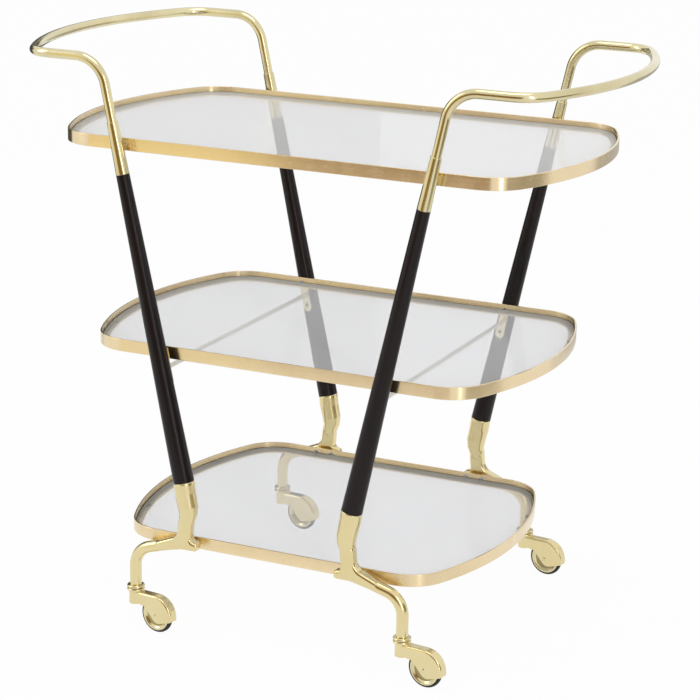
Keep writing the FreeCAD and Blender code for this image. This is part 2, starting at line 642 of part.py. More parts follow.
def build():
    """All nodes of the trolley, by name."""
    top_screws = for_each_corner(screw(leg_x(TOP_SCREW_Z), TOP_SCREW_Z))
    middle_screws = for_each_corner(screw(leg_x(MIDDLE_SCREW_Z), MIDDLE_SCREW_Z))
    bottom_screws = for_each_corner(Part.makeCompound(foot_screws()))
    screws = {"top": top_screws, "middle": middle_screws, "bottom": bottom_screws}
    nodes = {}
    for name, top_z, half_length, bow_radius in TRAYS:
        nodes[name + "_band"] = make_band(top_z, half_length, bow_radius, screws[name])
        nodes[name + "_glass"] = make_glass(top_z, half_length, bow_radius)
        nodes[name + "_glass_pads"] = make_pads(top_z, half_length, bow_radius)
        nodes[name + "_band_screws"] = screws[name]
    handle = make_handle()
    nodes["handle_right"] = handle
    nodes["handle_left"] = handle.mirror(FreeCAD.Vector(), FreeCAD.Vector(1, 0, 0))
    nodes["cross_rod_right"] = make_rod(1)
    nodes["cross_rod_left"] = make_rod(-1)
    nodes["rod_brackets"] = for_each_corner(make_bracket())
    nodes["top_spacers"] = for_each_corner(make_top_spacer())
    nodes["handle_studs"] = for_each_corner(make_handle_stud())
    nodes["foot_studs"] = for_each_corner(make_foot_stud())
    by_corner = {"leg": make_leg(), "sleeve": make_sleeve(), "foot_casting": make_foot()}
    caster = caster_parts()
    for corner, side_x, side_y in CORNERS:
        for name, shape in by_corner.items():
            nodes[name + "_" + corner] = at_corner(shape, side_x, side_y)
        for name, shape in caster.items():
            placed = shape.copy()
            placed.rotate(FreeCAD.Vector(), FreeCAD.Vector(0, 0, 1), CASTER_TURN)
            placed.translate(FreeCAD.Vector(side_x * STEM_X, side_y * LEG_PLANE_Y, 0))
            nodes[name + "_" + corner] = placed
    return nodes


def main():
    """Write one file for each node."""
    os.makedirs("parts", exist_ok=True)
    for name, shape in build().items():
        shape.exportStep("parts/" + name + ".step")
        box = shape.BoundBox
        print("%-28s valid %s solids %d volume %9.0f  x %7.1f..%7.1f y %7.1f..%7.1f z %6.1f..%6.1f" % (
            name, shape.isValid(), len(shape.Solids), shape.Volume,
            box.XMin, box.XMax, box.YMin, box.YMax, box.ZMin, box.ZMax))


main()
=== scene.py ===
"""Looks of the dessert trolley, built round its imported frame.

Lengths are in metres. X runs along the trays, Y across them and Z up, and the origin is on the
floor under the middle of the trolley.
"""

import logging
import math
from dataclasses import dataclass, field
from enum import Enum
from typing import Iterable, Optional, Sequence, Union

import bmesh
import bpy
from mathutils import Matrix, Vector


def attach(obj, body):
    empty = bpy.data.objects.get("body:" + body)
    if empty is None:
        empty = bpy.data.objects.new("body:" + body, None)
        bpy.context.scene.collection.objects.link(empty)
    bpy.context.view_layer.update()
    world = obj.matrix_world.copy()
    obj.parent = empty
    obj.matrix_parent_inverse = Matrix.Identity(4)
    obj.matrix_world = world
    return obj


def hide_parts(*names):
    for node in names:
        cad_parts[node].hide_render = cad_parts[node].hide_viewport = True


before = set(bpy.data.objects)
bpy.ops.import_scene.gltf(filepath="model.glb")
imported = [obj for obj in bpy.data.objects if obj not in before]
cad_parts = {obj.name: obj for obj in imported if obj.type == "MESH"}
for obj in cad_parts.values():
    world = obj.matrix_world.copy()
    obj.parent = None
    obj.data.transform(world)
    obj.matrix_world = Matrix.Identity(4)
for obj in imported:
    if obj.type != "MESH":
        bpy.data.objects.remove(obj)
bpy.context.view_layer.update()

logging.basicConfig(level=logging.INFO, format="%(message)s")
LOG = logging.getLogger("trolley")

QUARTER = math.pi / 2
FULL = 2 * math.pi
UP = Vector((0.0, 0.0, 1.0))
ALONG = Vector((1.0, 0.0, 0.0))
ACROSS = Vector((0.0, 1.0, 0.0))

Colour = tuple[float, float, float]
SocketValue = Union[float, Sequence[float], bpy.types.NodeSocket]

FRAME_BODY = "trolley_frame"

# Widest gap that is closed when loose vertices are merged.
MERGE_GAP = 1e-6

# Legs: two upright planes of round tapered rods that lean out towards the trolley's ends.
LEG_PLANE_Y = 0.2137
LEAN = math.radians(12.35)
LEG_FOOT = Vector((0.1184, 0.0, 0.211))
LEG_AXIS = Vector((math.sin(LEAN), 0.0, math.cos(LEAN)))
LEG_LENGTH = 0.400
SLEEVE_LENGTH = 0.066

# Casters: every one is parked with its wheel trailing the same way.
STEM_X = 0.190
CASTER_TURN = math.radians(-10.0)
WHEEL_TRAIL = 0.036
WHEEL_CENTRE_Z = 0.024


class Corner(Enum):
    """The trolley's corners, by their side along X and along Y."""

    FRONT_LEFT = (-1, -1)
    FRONT_RIGHT = (1, -1)
    BACK_LEFT = (-1, 1)
    BACK_RIGHT = (1, 1)

    @property
    def label(self) -> str:
        """Name as it stands in the nodes and the pieces."""
        return self.name.lower()

    def from_leg_plane(self) -> Matrix:
        """Matrix that puts a piece drawn in a leg's plane (X outwards, +Y inwards) here."""
        side_x, side_y = self.value
        mirror = Matrix.Diagonal((side_x, -side_y, 1.0, 1.0))
        return Matrix.Translation((0.0, side_y * LEG_PLANE_Y, 0.0)) @ mirror

    def from_kingpin(self) -> Matrix:
        """Matrix that puts a piece drawn round its kingpin (wheel along +X) here."""
        side_x, side_y = self.value
        place = Matrix.Translation((side_x * STEM_X, side_y * LEG_PLANE_Y, 0.0))
        return place @ Matrix.Rotation(CASTER_TURN, 4, "Z")


class Slot(Enum):
    """Material slots of the record."""

    SATIN_BRASS = "satin_brass"
    POLISHED_BRASS = "polished_brass"
    CAST_BRASS = "cast_brass"
    EBONISED_WOOD = "ebonised_wood"
    CLEAR_GLASS = "clear_glass"
    SOFT_PAD = "soft_pad"
    STEEL = "steel"
    TYRE = "tyre"


# ---------------------------------------------------------------------------------------------
# Shader graphs
# ---------------------------------------------------------------------------------------------


class Graph:
    """Node tree of one material, group or world, with short calls to add and join nodes."""

    def __init__(self, tree: bpy.types.NodeTree) -> None:
        """Start from an empty tree.

        Args:
            tree: The node tree to fill.
        """
        self.tree = tree
        tree.nodes.clear()

    def add(self, kind: str, sockets: Optional[dict[str, SocketValue]] = None,
            **settings: object) -> bpy.types.Node:
        """Add one node.

        Args:
            kind: Node type, without its ShaderNode prefix unless it is a group's own node.
            sockets: Values or sources for the node's inputs, by name or "#index".
            settings: Attributes of the node.

        Returns:
            The new node.
        """
        prefix = "" if kind.startswith("NodeGroup") else "ShaderNode"
        node = self.tree.nodes.new(prefix + kind)
        for name, value in settings.items():
            setattr(node, name, value)
        for name, value in (sockets or {}).items():
            target = node.inputs[int(name[1:])] if name.startswith("#") else node.inputs[name]
            if isinstance(value, bpy.types.NodeSocket):
                self.tree.links.new(value, target)
            else:
                target.default_value = value
        return node

    def math(self, operation: str, *values: SocketValue, clamp: bool = False
             ) -> bpy.types.NodeSocket:
        """Add a Math node and return its output.

        Args:
            operation: Name of the operation.
            values: One to three inputs.
            clamp: Whether the result is held between 0 and 1.

        Returns:
            The node's output socket.
        """
        sockets = {f"#{index}": value for index, value in enumerate(values)}
        node = self.add("Math", sockets, operation=operation, use_clamp=clamp)
        return node.outputs[0]

    def mix(self, share: SocketValue, first: SocketValue, second: SocketValue
            ) -> bpy.types.NodeSocket:
        """Mix two colours and return the result.

        Args:
            share: 0 for the first colour, 1 for the second.
            first: First colour.
            second: Second colour.

        Returns:
            The mixed colour's socket.
        """
        node = self.add("Mix", data_type="RGBA")
        for index, value in ((0, share), (6, first), (7, second)):
            if isinstance(value, bpy.types.NodeSocket):
                self.tree.links.new(value, node.inputs[index])
            elif index == 0:
                node.inputs[index].default_value = value
            else:
                node.inputs[index].default_value = (*value, 1.0)
        return node.outputs[2]

    def spread(self, value: SocketValue, low: float, high: float) -> bpy.types.NodeSocket:
        """Map a mask from 0..1 to low..high and return the result."""
        return self.add("MapRange", {"Value": value, "To Min": low, "To Max": high}).outputs[0]

    def object_coords(self) -> bpy.types.NodeSocket:
        """Object coordinates, which are the trolley's own frame on every piece."""
        return self.add("TexCoord").outputs["Object"]


class SharedEffects:
    """Node groups for the effects that more than one finish uses, built once each."""

    def __init__(self) -> None:
        """Build every group."""
        self.cloud = self._cloud()
        self.fibres = self._fibres()
        self.edges = self._by_shape("rubbed_edges", 0.52, 0.60, scale=160.0, fill=0.4)
        # Inner corners: tarnishing and painted shade, darker in creases and recesses.
        self.recesses = self._by_shape("recess_tarnish_and_painted_shade", 0.485, 0.42, scale=90.0, fill=0.5)

    @staticmethod
    def _new_group(name: str, inputs: Sequence[tuple[str, str, float]]
                   ) -> tuple[bpy.types.NodeTree, Graph, bpy.types.Node]:
        """Make a group that takes coordinates and gives one mask.

        Args:
            name: Name of the group.
            inputs: Name, kind ("Float" or "Vector") and default of each further input.

        Returns:
            The group, a graph to fill it with and its input node.
        """
        group = bpy.data.node_groups.new(name, "ShaderNodeTree")
        graph = Graph(group)
        for label, kind, default in (("Vector", "Vector", 0.0), *inputs):
            socket = group.interface.new_socket(label, in_out="INPUT",
                                                socket_type="NodeSocket" + kind)
            if kind == "Float":
                socket.default_value = default
        group.interface.new_socket("Mask", in_out="OUTPUT", socket_type="NodeSocketFloat")
        return group, graph, graph.add("NodeGroupInput")

    @staticmethod
    def _give_contrast(graph: Graph, noise: bpy.types.Node, given: bpy.types.Node) -> None:
        """Spread a noise about its middle by the group's contrast and give it out.

        Args:
            graph: Graph of the group.
            noise: The noise node.
            given: The group's input node.
        """
        centred = graph.math("SUBTRACT", noise.outputs[0], 0.5)
        scaled = graph.math("MULTIPLY", centred, given.outputs["Contrast"])
        graph.add("NodeGroupOutput", {"Mask": graph.math("ADD", scaled, 0.5, clamp=True)})

    def _cloud(self) -> bpy.types.NodeTree:
        """Soft uneven mask: tone, haze and hand polishing."""
        group, graph, given = self._new_group("soft_cloud", [("Scale", "Float", 20.0),
                                                             ("Contrast", "Float", 1.0)])
        noise = graph.add("TexNoise", {"Vector": given.outputs["Vector"],
                                       "Scale": given.outputs["Scale"],
                                       "Detail": 3.0, "Roughness": 0.55})
        self._give_contrast(graph, noise, given)
        return group

    def _fibres(self) -> bpy.types.NodeTree:
        """Long fine streaks: brushing on metal or grain in wood."""
        group, graph, given = self._new_group("long_streaks", [("Stretch", "Vector", 0.0),
                                                               ("Contrast", "Float", 1.0)])
        stretched = graph.add("VectorMath", {"#0": given.outputs["Vector"],
                                             "#1": given.outputs["Stretch"]},
                              operation="MULTIPLY")
        noise = graph.add("TexNoise", {"Vector": stretched.outputs[0], "Scale": 1.0,
                                       "Detail": 4.0, "Roughness": 0.65})
        self._give_contrast(graph, noise, given)
        return group

    def _by_shape(self, name: str, start: float, full: float, scale: float, fill: float
                  ) -> bpy.types.NodeTree:
        """Mask of the outer edges or of the inner corners, broken up by a noise. The inner-corner
        mask darkens recesses as tarnishing and as painted shade.

        Args:
            name: Name of the group.
            start: Pointiness at which the mask begins.
            full: Pointiness at which it is full.
            scale: Scale of the noise.
            fill: What is added to the noise, so that it leaves fewer gaps.

        Returns:
            The group.
        """
        group, graph, given = self._new_group(name, [("Amount", "Float", 1.0)])
        geometry = graph.add("NewGeometry")
        shape = graph.add("MapRange", {"Value": geometry.outputs["Pointiness"],
                                       "From Min": start, "From Max": full})
        noise = graph.add("TexNoise", {"Vector": given.outputs["Vector"], "Scale": scale,
                                       "Detail": 2.0})
        broken = graph.math("MULTIPLY", shape.outputs[0],
                            graph.math("ADD", noise.outputs[0], fill))
        mask = graph.math("MULTIPLY", broken, given.outputs["Amount"], clamp=True)
        graph.add("NodeGroupOutput", {"Mask": mask})
        return group


class Finish:
    """Base of the finishes: a named procedural material."""

    name: str

    def build(self, effects: SharedEffects) -> bpy.types.Material:
        """Make the material.

        Args:
            effects: The shared node groups.

        Returns:
            The finished material.
        """
        material = bpy.data.materials.new(self.name)
        material.use_nodes = True
        graph = Graph(material.node_tree)
        shader = graph.add("BsdfPrincipled")
        self.dress(graph, shader, effects)
        graph.add("OutputMaterial", {"Surface": shader.outputs[0]})
        return material

    def dress(self, graph: Graph, shader: bpy.types.Node, effects: SharedEffects) -> None:
        """Set the shader's sockets. Each finish has its own way."""
        raise NotImplementedError

    @staticmethod
    def group(graph: Graph, tree: bpy.types.NodeTree, **sockets: SocketValue
              ) -> bpy.types.NodeSocket:
        """Place a shared group and return its mask.

        Args:
            graph: Graph of the material.
            tree: The group.
            sockets: Values for the group's inputs, in lower case.

        Returns:
            The group's mask.
        """
        node = graph.add("Group", node_tree=tree)
        for name, value in sockets.items():
            target = node.inputs[name.capitalize()]
            if isinstance(value, bpy.types.NodeSocket):
                graph.tree.links.new(value, target)
            else:
                target.default_value = value
        return node.outputs["Mask"]

    @staticmethod
    def bump(graph: Graph, shader: bpy.types.Node, height: bpy.types.NodeSocket,
             strength: float, distance: float) -> None:
        """Feed a height into the shader's normal.

        Args:
            graph: Graph of the material.
            shader: The Principled shader.
            height: Height mask.
            strength: Strength of the bump.
            distance: Depth of the bump in metres.
        """
        node = graph.add("Bump", {"Height": height, "Strength": strength, "Distance": distance})
        graph.tree.links.new(node.outputs[0], shader.inputs["Normal"])

    @staticmethod
    def feed(graph: Graph, shader: bpy.types.Node, name: str,
             source: bpy.types.NodeSocket) -> None:
        """Link a source to one of the shader's inputs."""
        graph.tree.links.new(source, shader.inputs[name])


@dataclass(frozen=True)
class Brass(Finish):
    """Lacquered brass: polished tube and turned parts, castings, or brushed strip."""

    name: str
    light: Colour
    deep: Colour
    roughness: float
    roughness_spread: float
    wave_scale: float
    wave_depth: float
    brush: Optional[Sequence[float]] = None
    brush_depth: float = 0.0
    lacquer: float = 0.25
    lacquer_roughness: float = 0.06
    # Colour that recesses darken towards: tarnished brass and painted shade.
    tarnish_and_shade_colour: Colour = (0.20, 0.15, 0.06)
    tone_scale: float = 14.0
    haze_scale: float = 55.0
    # Strength of the rubbed edges and of the tarnishing and painted shade in recesses.
    wear_and_recess_shade: float = 0.7
    wear_gain: float = 1.08
    brush_spread: float = 0.05
    brush_stretch: float = 0.9

    def dress(self, graph: Graph, shader: bpy.types.Node, effects: SharedEffects) -> None:
        """Cloudy tone, rubbed edges, polishing waves and, on strip, lengthwise brushing."""
        place = graph.object_coords()
        shader.inputs["Metallic"].default_value = 1.0
        shader.inputs["Coat Weight"].default_value = self.lacquer
        shader.inputs["Coat Roughness"].default_value = self.lacquer_roughness
        tone = self.group(graph, effects.cloud, vector=place, scale=self.tone_scale,
                          contrast=2.2)
        colour = graph.mix(tone, self.deep, self.light)
        rubbed = self.group(graph, effects.edges, vector=place, amount=self.wear_and_recess_shade)
        bright = tuple(min(1.0, part * self.wear_gain) for part in self.light)
        colour = graph.mix(rubbed, colour, bright)
        # Recesses darken towards a tarnished colour: partly real tarnishing, partly painted shade
        # in creases.
        recess_tarnish_and_shade = self.group(graph, effects.recesses, vector=place, amount=self.wear_and_recess_shade)
        self.feed(graph, shader, "Base Color", graph.mix(recess_tarnish_and_shade, colour, self.tarnish_and_shade_colour))
        haze = self.group(graph, effects.cloud, vector=place, scale=self.haze_scale,
                          contrast=1.8)
        rough = graph.spread(haze, self.roughness - self.roughness_spread,
                             self.roughness + self.roughness_spread)
        waves = self.group(graph, effects.cloud, vector=place, scale=self.wave_scale,
                           contrast=1.0)
        height = graph.math("MULTIPLY", waves, self.wave_depth)
        if self.brush is not None:
            lines = self.group(graph, effects.fibres, vector=place, stretch=self.brush,
                               contrast=1.6)
            rough = graph.math("ADD", rough,
                               graph.spread(lines, -self.brush_spread, self.brush_spread))
            height = graph.math("ADD", height,
                                graph.math("MULTIPLY", lines, self.brush_depth))
            shader.inputs["Anisotropic"].default_value = self.brush_stretch
            across = graph.add("CombineXYZ", {"Z": 1.0})
            self.feed(graph, shader, "Tangent", across.outputs[0])
        self.feed(graph, shader, "Roughness", rough)
        self.bump(graph, shader, height, 1.0, 1.0)


@dataclass(frozen=True)
class EbonisedWood(Finish):
    """Turned wood, stained black and lacquered, with its grain along the leg."""

    name: str
    lean: float
    stain: Colour = (0.0085, 0.0052, 0.0060)
    pore: Colour = (0.003, 0.002, 0.002)
    glow: Colour = (0.020, 0.0110, 0.0100)
    gloss: float = 0.12
    lacquer: float = 0.18
    lacquer_roughness: float = 0.05
    relief: float = 0.00002
    grain_stretch: tuple[float, float, float] = (420.0, 420.0, 14.0)
    band_stretch: tuple[float, float, float] = (70.0, 70.0, 3.0)
    pore_stretch: tuple[float, float, float] = (1500.0, 1500.0, 70.0)

    def dress(self, graph: Graph, shader: bpy.types.Node, effects: SharedEffects) -> None:
        """Grain and open pores under a semi-gloss lacquer."""
        turned = graph.add("Mapping", {"Vector": graph.object_coords(),
                                       "Rotation": (0.0, -self.lean, 0.0)}).outputs[0]
        grain = self.group(graph, effects.fibres, vector=turned, stretch=self.grain_stretch,
                           contrast=2.0)
        band = self.group(graph, effects.fibres, vector=turned, stretch=self.band_stretch,
                          contrast=2.4)
        pores = self.group(graph, effects.fibres, vector=turned, stretch=self.pore_stretch,
                           contrast=6.0)
        colour = graph.mix(band, self.stain, self.glow)
        colour = graph.mix(graph.math("MULTIPLY", grain, 0.6), colour, self.pore)
        worn = self.group(graph, effects.edges, vector=turned, amount=0.5)
        self.feed(graph, shader, "Base Color", graph.mix(worn, colour, self.glow))
        self.feed(graph, shader, "Roughness", graph.spread(grain, 0.30, 0.42))
        shader.inputs["Specular IOR Level"].default_value = self.gloss
        shader.inputs["Coat Weight"].default_value = self.lacquer
        shader.inputs["Coat Roughness"].default_value = self.lacquer_roughness
        height = graph.math("ADD", graph.math("MULTIPLY", grain, self.relief),
                            graph.math("MULTIPLY", pores, self.relief))
        self.bump(graph, shader, height, 0.8, 1.0)


@dataclass(frozen=True)
class FloatGlass(Finish):
    """Clear pane with a faint grey tint, a pale veil and a trace of wiping."""

    name: str
    tint: Colour
    index: float = 1.06
    veil: float = 0.95
    veil_roughness: float = 0.5
    deepening: float = 0.985
    wiping: float = 0.012

    def dress(self, graph: Graph, shader: bpy.types.Node, effects: SharedEffects) -> None:
        """Tinted clear glass whose roughness rises a little where it was wiped."""
        place = graph.object_coords()
        shader.inputs["Transmission Weight"].default_value = 1.0
        shader.inputs["IOR"].default_value = self.index
        shader.inputs["Sheen Weight"].default_value = self.veil
        shader.inputs["Sheen Roughness"].default_value = self.veil_roughness
        cloud = self.group(graph, effects.cloud, vector=place, scale=6.0, contrast=1.0)
        deeper = tuple(part * self.deepening for part in self.tint)
        self.feed(graph, shader, "Base Color", graph.mix(cloud, deeper, self.tint))
        wiped = self.group(graph, effects.fibres, vector=place, stretch=(6.0, 40.0, 6.0),
                           contrast=3.0)
        self.feed(graph, shader, "Roughness", graph.spread(wiped, 0.0, self.wiping))


@dataclass(frozen=True)
class GroundGlass(Finish):
    """Ground edge of a pane: matt, greenish grey, with the wheel's marks along it."""

    name: str
    pale: Colour = (0.36, 0.38, 0.27)
    dark: Colour = (0.20, 0.22, 0.14)
    relief: float = 0.00002

    def dress(self, graph: Graph, shader: bpy.types.Node, effects: SharedEffects) -> None:
        """Streaks of grinding over a cloudy grey."""
        place = graph.object_coords()
        tone = self.group(graph, effects.cloud, vector=place, scale=30.0, contrast=2.0)
        marks = self.group(graph, effects.fibres, vector=place, stretch=(60.0, 60.0, 5000.0),
                           contrast=2.0)
        shade = graph.math("MULTIPLY", tone, marks)
        self.feed(graph, shader, "Base Color", graph.mix(shade, self.dark, self.pale))
        self.feed(graph, shader, "Roughness", graph.spread(marks, 0.45, 0.60))
        self.bump(graph, shader, graph.math("MULTIPLY", marks, self.relief), 0.6, 1.0)


@dataclass(frozen=True)
class SolidRubber(Finish):
    """Moulded rubber, as on the tyres, or a soft clear pad."""

    name: str
    body: Colour
    dusty: Colour
    roughness: float
    gloss: float = 0.3
    dust: float = 0.35
    relief: float = 0.00004

    def dress(self, graph: Graph, shader: bpy.types.Node, effects: SharedEffects) -> None:
        """Dull moulded skin with a little dust."""
        place = graph.object_coords()
        shader.inputs["Specular IOR Level"].default_value = self.gloss
        dust = self.group(graph, effects.cloud, vector=place, scale=240.0, contrast=2.0)
        worn = self.group(graph, effects.edges, vector=place, amount=0.6)
        colour = graph.mix(graph.math("MULTIPLY", dust, self.dust), self.body, self.dusty)
        self.feed(graph, shader, "Base Color", graph.mix(worn, colour, self.dusty))
        self.feed(graph, shader, "Roughness",
                  graph.spread(dust, self.roughness - 0.06, self.roughness + 0.08))
        skin = self.group(graph, effects.cloud, vector=place, scale=2400.0, contrast=1.0)
        self.bump(graph, shader, graph.math("MULTIPLY", skin, self.relief), 0.6, 1.0)


@dataclass(frozen=True)
class TurnedSteel(Finish):
    """Plain turned steel of the screws, studs and kingpins."""

    name: str
    light: Colour = (0.56, 0.56, 0.57)
    deep: Colour = (0.42, 0.41, 0.40)
    relief: float = 0.00001

    def dress(self, graph: Graph, shader: bpy.types.Node, effects: SharedEffects) -> None:
        """Fine tool marks and an uneven grey tone."""
        place = graph.object_coords()
        shader.inputs["Metallic"].default_value = 1.0
        tone = self.group(graph, effects.cloud, vector=place, scale=120.0, contrast=2.0)
        self.feed(graph, shader, "Base Color", graph.mix(tone, self.deep, self.light))
        marks = self.group(graph, effects.fibres, vector=place,
                           stretch=(300.0, 300.0, 4000.0), contrast=2.0)
        self.feed(graph, shader, "Roughness", graph.spread(marks, 0.24, 0.40))
        self.bump(graph, shader, graph.math("MULTIPLY", marks, self.relief), 0.6, 1.0)


@dataclass
class Workshop:
    """All finishes of the trolley, ready to put on pieces."""

    effects: SharedEffects = field(default_factory=SharedEffects)
    materials: dict[str, bpy.types.Material] = field(default_factory=dict)

    def __post_init__(self) -> None:
        """Build each finish once."""
        finishes: list[Finish] = [
            Brass(name="brushed_band_brass", light=(0.83, 0.68, 0.43), deep=(0.77, 0.61, 0.36),
                  roughness=0.24, roughness_spread=0.04, wave_scale=40.0, wave_depth=0.00001,
                  brush=(3.0, 3.0, 1600.0), brush_depth=0.000004, lacquer=0.30),
            Brass(name="polished_tube_brass", light=(0.77, 0.69, 0.42),
                  deep=(0.61, 0.53, 0.30), roughness=0.17, roughness_spread=0.03,
                  wave_scale=70.0, wave_depth=0.00002),
            Brass(name="polished_cast_brass", light=(0.79, 0.69, 0.39),
                  deep=(0.74, 0.61, 0.32), roughness=0.20, roughness_spread=0.05,
                  wave_scale=90.0, wave_depth=0.00012, tarnish_and_shade_colour=(0.16, 0.13, 0.05)),
            Brass(name="satin_rod_brass", light=(0.82, 0.80, 0.72), deep=(0.70, 0.67, 0.58),
                  roughness=0.30, roughness_spread=0.05, wave_scale=70.0,
                  wave_depth=0.00002),
            # Darker brass for the wheel's dished web: painted shade of the recess inside the rim.
            Brass(name="shade_painted_dish_brass", light=(0.42, 0.36, 0.17), deep=(0.26, 0.21, 0.09),
                  roughness=0.34, roughness_spread=0.06, wave_scale=160.0,
                  wave_depth=0.00003, lacquer=0.1),
            EbonisedWood(name="ebonised_wood_right", lean=LEAN),
            EbonisedWood(name="ebonised_wood_left", lean=-LEAN),
            FloatGlass(name="float_glass", tint=(0.825, 0.83, 0.845)),
            GroundGlass(name="ground_glass_edge"),
            SolidRubber(name="tyre_rubber", body=(0.012, 0.012, 0.012),
                        dusty=(0.05, 0.048, 0.045), roughness=0.52),
            SolidRubber(name="soft_clear_pad", body=(0.62, 0.62, 0.58),
                        dusty=(0.70, 0.70, 0.68), roughness=0.42),
            TurnedSteel(name="turned_steel"),
        ]
        for finish in finishes:
            self.materials[finish.name] = finish.build(self.effects)

    def dress_node(self, node: str, material: str) -> None:
        """Give a carried-over node its finish.

        Args:
            node: Name of the node.
            material: Name of the finish.
        """
        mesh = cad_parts[node].data
        mesh.materials.clear()
        mesh.materials.append(self.materials[material])
        LOG.info("node %s dressed in %s", node, material)


# ---------------------------------------------------------------------------------------------
# Mesh shaping
# ---------------------------------------------------------------------------------------------


def put_in_scene(bm: bmesh.types.BMesh, name: str, material: bpy.types.Material
                 ) -> bpy.types.Object:
    """Turn a bmesh into an object of the scene and free the bmesh.

    Args:
        bm: The shape.
        name: Name of the object and its mesh.
        material: Its finish.

    Returns:
        The object.
    """
    mesh = bpy.data.meshes.new(name)
    bm.to_mesh(mesh)
    bm.free()
    mesh.materials.append(material)
    made = bpy.data.objects.new(name, mesh)
    bpy.context.scene.collection.objects.link(made)
    return made


class Shaper:
    """One piece in the making: a bmesh and the operators that shape it."""

    def __init__(self, mesh: Optional[bpy.types.Mesh] = None) -> None:
        """Start empty, or from a copy of a mesh whose loose triangles are merged."""
        self.bm = bmesh.new()
        if mesh is not None:
            self.bm.from_mesh(mesh)
            bmesh.ops.remove_doubles(self.bm, verts=self.bm.verts, dist=MERGE_GAP)

    def outline(self, points: Iterable[Sequence[float]], closed: bool = False,
                segments: int = 4) -> list[bmesh.types.BMEdge]:
        """Draw an outline in the XZ plane and round its corners.

        Args:
            points: (x, z, run) corners, where run is how far along its edges the rounding
                starts from the corner, or 0 for a sharp one.
            closed: Whether the last point joins the first.
            segments: Steps of each rounding.

        Returns:
            The outline's edges.
        """
        corners = [(self.bm.verts.new((x, 0.0, z)), run) for x, z, run in points]
        verts = [vert for vert, _ in corners]
        pairs = list(zip(verts, verts[1:] + (verts[:1] if closed else [])))
        before = set(self.bm.edges)
        for first, second in pairs:
            self.bm.edges.new((first, second))
        for run in sorted({run for _, run in corners if run > 0.0}):
            rounded = [vert for vert, reach in corners if reach == run and vert.is_valid]
            bmesh.ops.bevel(self.bm, geom=rounded, offset=run, offset_type="OFFSET",
                            segments=segments, profile=0.5, affect="VERTICES", material=-1)
        return [edge for edge in self.bm.edges if edge not in before]

    def circle(self, radius: float, centre: Vector, axis: Vector, segments: int
               ) -> list[bmesh.types.BMEdge]:
        """Draw a circle.

        Args:
            radius: Radius.
            centre: Centre.
            axis: Direction that the circle faces.
            segments: Number of sides.

        Returns:
            The circle's edges.
        """
        turn = UP.rotation_difference(axis).to_matrix().to_4x4()
        made = bmesh.ops.create_circle(self.bm, radius=radius, segments=segments,
                                       matrix=Matrix.Translation(centre) @ turn)
        return list({edge for vert in made["verts"] for edge in vert.link_edges})

    def run(self, edges: list[bmesh.types.BMEdge], offset: Vector) -> list[bmesh.types.BMEdge]:
        """Extrude edges straight along an offset and return the new edges."""
        made = bmesh.ops.extrude_edge_only(self.bm, edges=edges)["geom"]
        verts = [item for item in made if isinstance(item, bmesh.types.BMVert)]
        bmesh.ops.translate(self.bm, verts=verts, vec=offset)
        return [item for item in made if isinstance(item, bmesh.types.BMEdge)]

    def turn(self, edges: list[bmesh.types.BMEdge], centre: Vector, axis: Vector,
             angle: float, steps: int) -> list[bmesh.types.BMEdge]:
        """Sweep edges about an axis and return the last ones."""
        verts = list({vert for edge in edges for vert in edge.verts})
        made = bmesh.ops.spin(self.bm, geom=edges + verts, cent=centre, axis=axis,
                              angle=angle, steps=steps)["geom_last"]
        return [item for item in made if isinstance(item, bmesh.types.BMEdge)]

    def cap(self, edges: list[bmesh.types.BMEdge]) -> list[bmesh.types.BMFace]:
        """Close a loop of edges with a face."""
        made = bmesh.ops.contextual_create(self.bm, geom=edges)["faces"]
        return list(made)

    def revolve(self, points: Iterable[Sequence[float]], steps: int = 72, segments: int = 4
                ) -> None:
        """Turn a section about the Z axis.

        Args:
            points: (radius, z, run) corners of the section, as for an outline.
            steps: Steps of the full turn.
            segments: Steps of each rounding.
        """
        edges = self.outline(points, segments=segments)
        verts = list({vert for edge in edges for vert in edge.verts})
        bmesh.ops.spin(self.bm, geom=edges + verts, cent=(0.0, 0.0, 0.0), axis=UP, angle=FULL,
                       steps=steps, use_merge=True)
        self.seal()

    def seal(self) -> None:
        """Merge what meets and point every face outwards."""
        bmesh.ops.remove_doubles(self.bm, verts=self.bm.verts, dist=MERGE_GAP)
        bmesh.ops.recalc_face_normals(self.bm, faces=self.bm.faces)

    def place(self, matrix: Matrix) -> "Shaper":
        """Move the whole piece and return it."""
        bmesh.ops.transform(self.bm, matrix=matrix, verts=self.bm.verts)
        bmesh.ops.recalc_face_normals(self.bm, faces=self.bm.faces)
        return self

    def copy(self) -> "Shaper":
        """A separate copy of the piece so far."""
        twin = Shaper()
        twin.bm.free()
        twin.bm = self.bm.copy()
        return twin

    def melt(self, voxel: float, rounds: int) -> None:
        """Melt overlapping volumes into one soft-edged skin, as a casting has.

        Args:
            voxel: Size of the grid.
            rounds: Rounds of smoothing.
        """
        mesh = bpy.data.meshes.new("melt")
        self.bm.to_mesh(mesh)
        rough = bpy.data.objects.new("melt", mesh)
        bpy.context.scene.collection.objects.link(rough)
        skin = rough.modifiers.new("skin", "REMESH")
        skin.mode = "VOXEL"
        skin.voxel_size = voxel
        soften = rough.modifiers.new("soften", "SMOOTH")
        soften.factor = 0.5
        soften.iterations = rounds
        graph = bpy.context.evaluated_depsgraph_get()
        graph.update()
        solid = bpy.data.meshes.new_from_object(rough.evaluated_get(graph))
        self.bm.clear()
        self.bm.from_mesh(solid)
        bpy.data.objects.remove(rough)
        for used in (mesh, solid):
            bpy.data.meshes.remove(used)

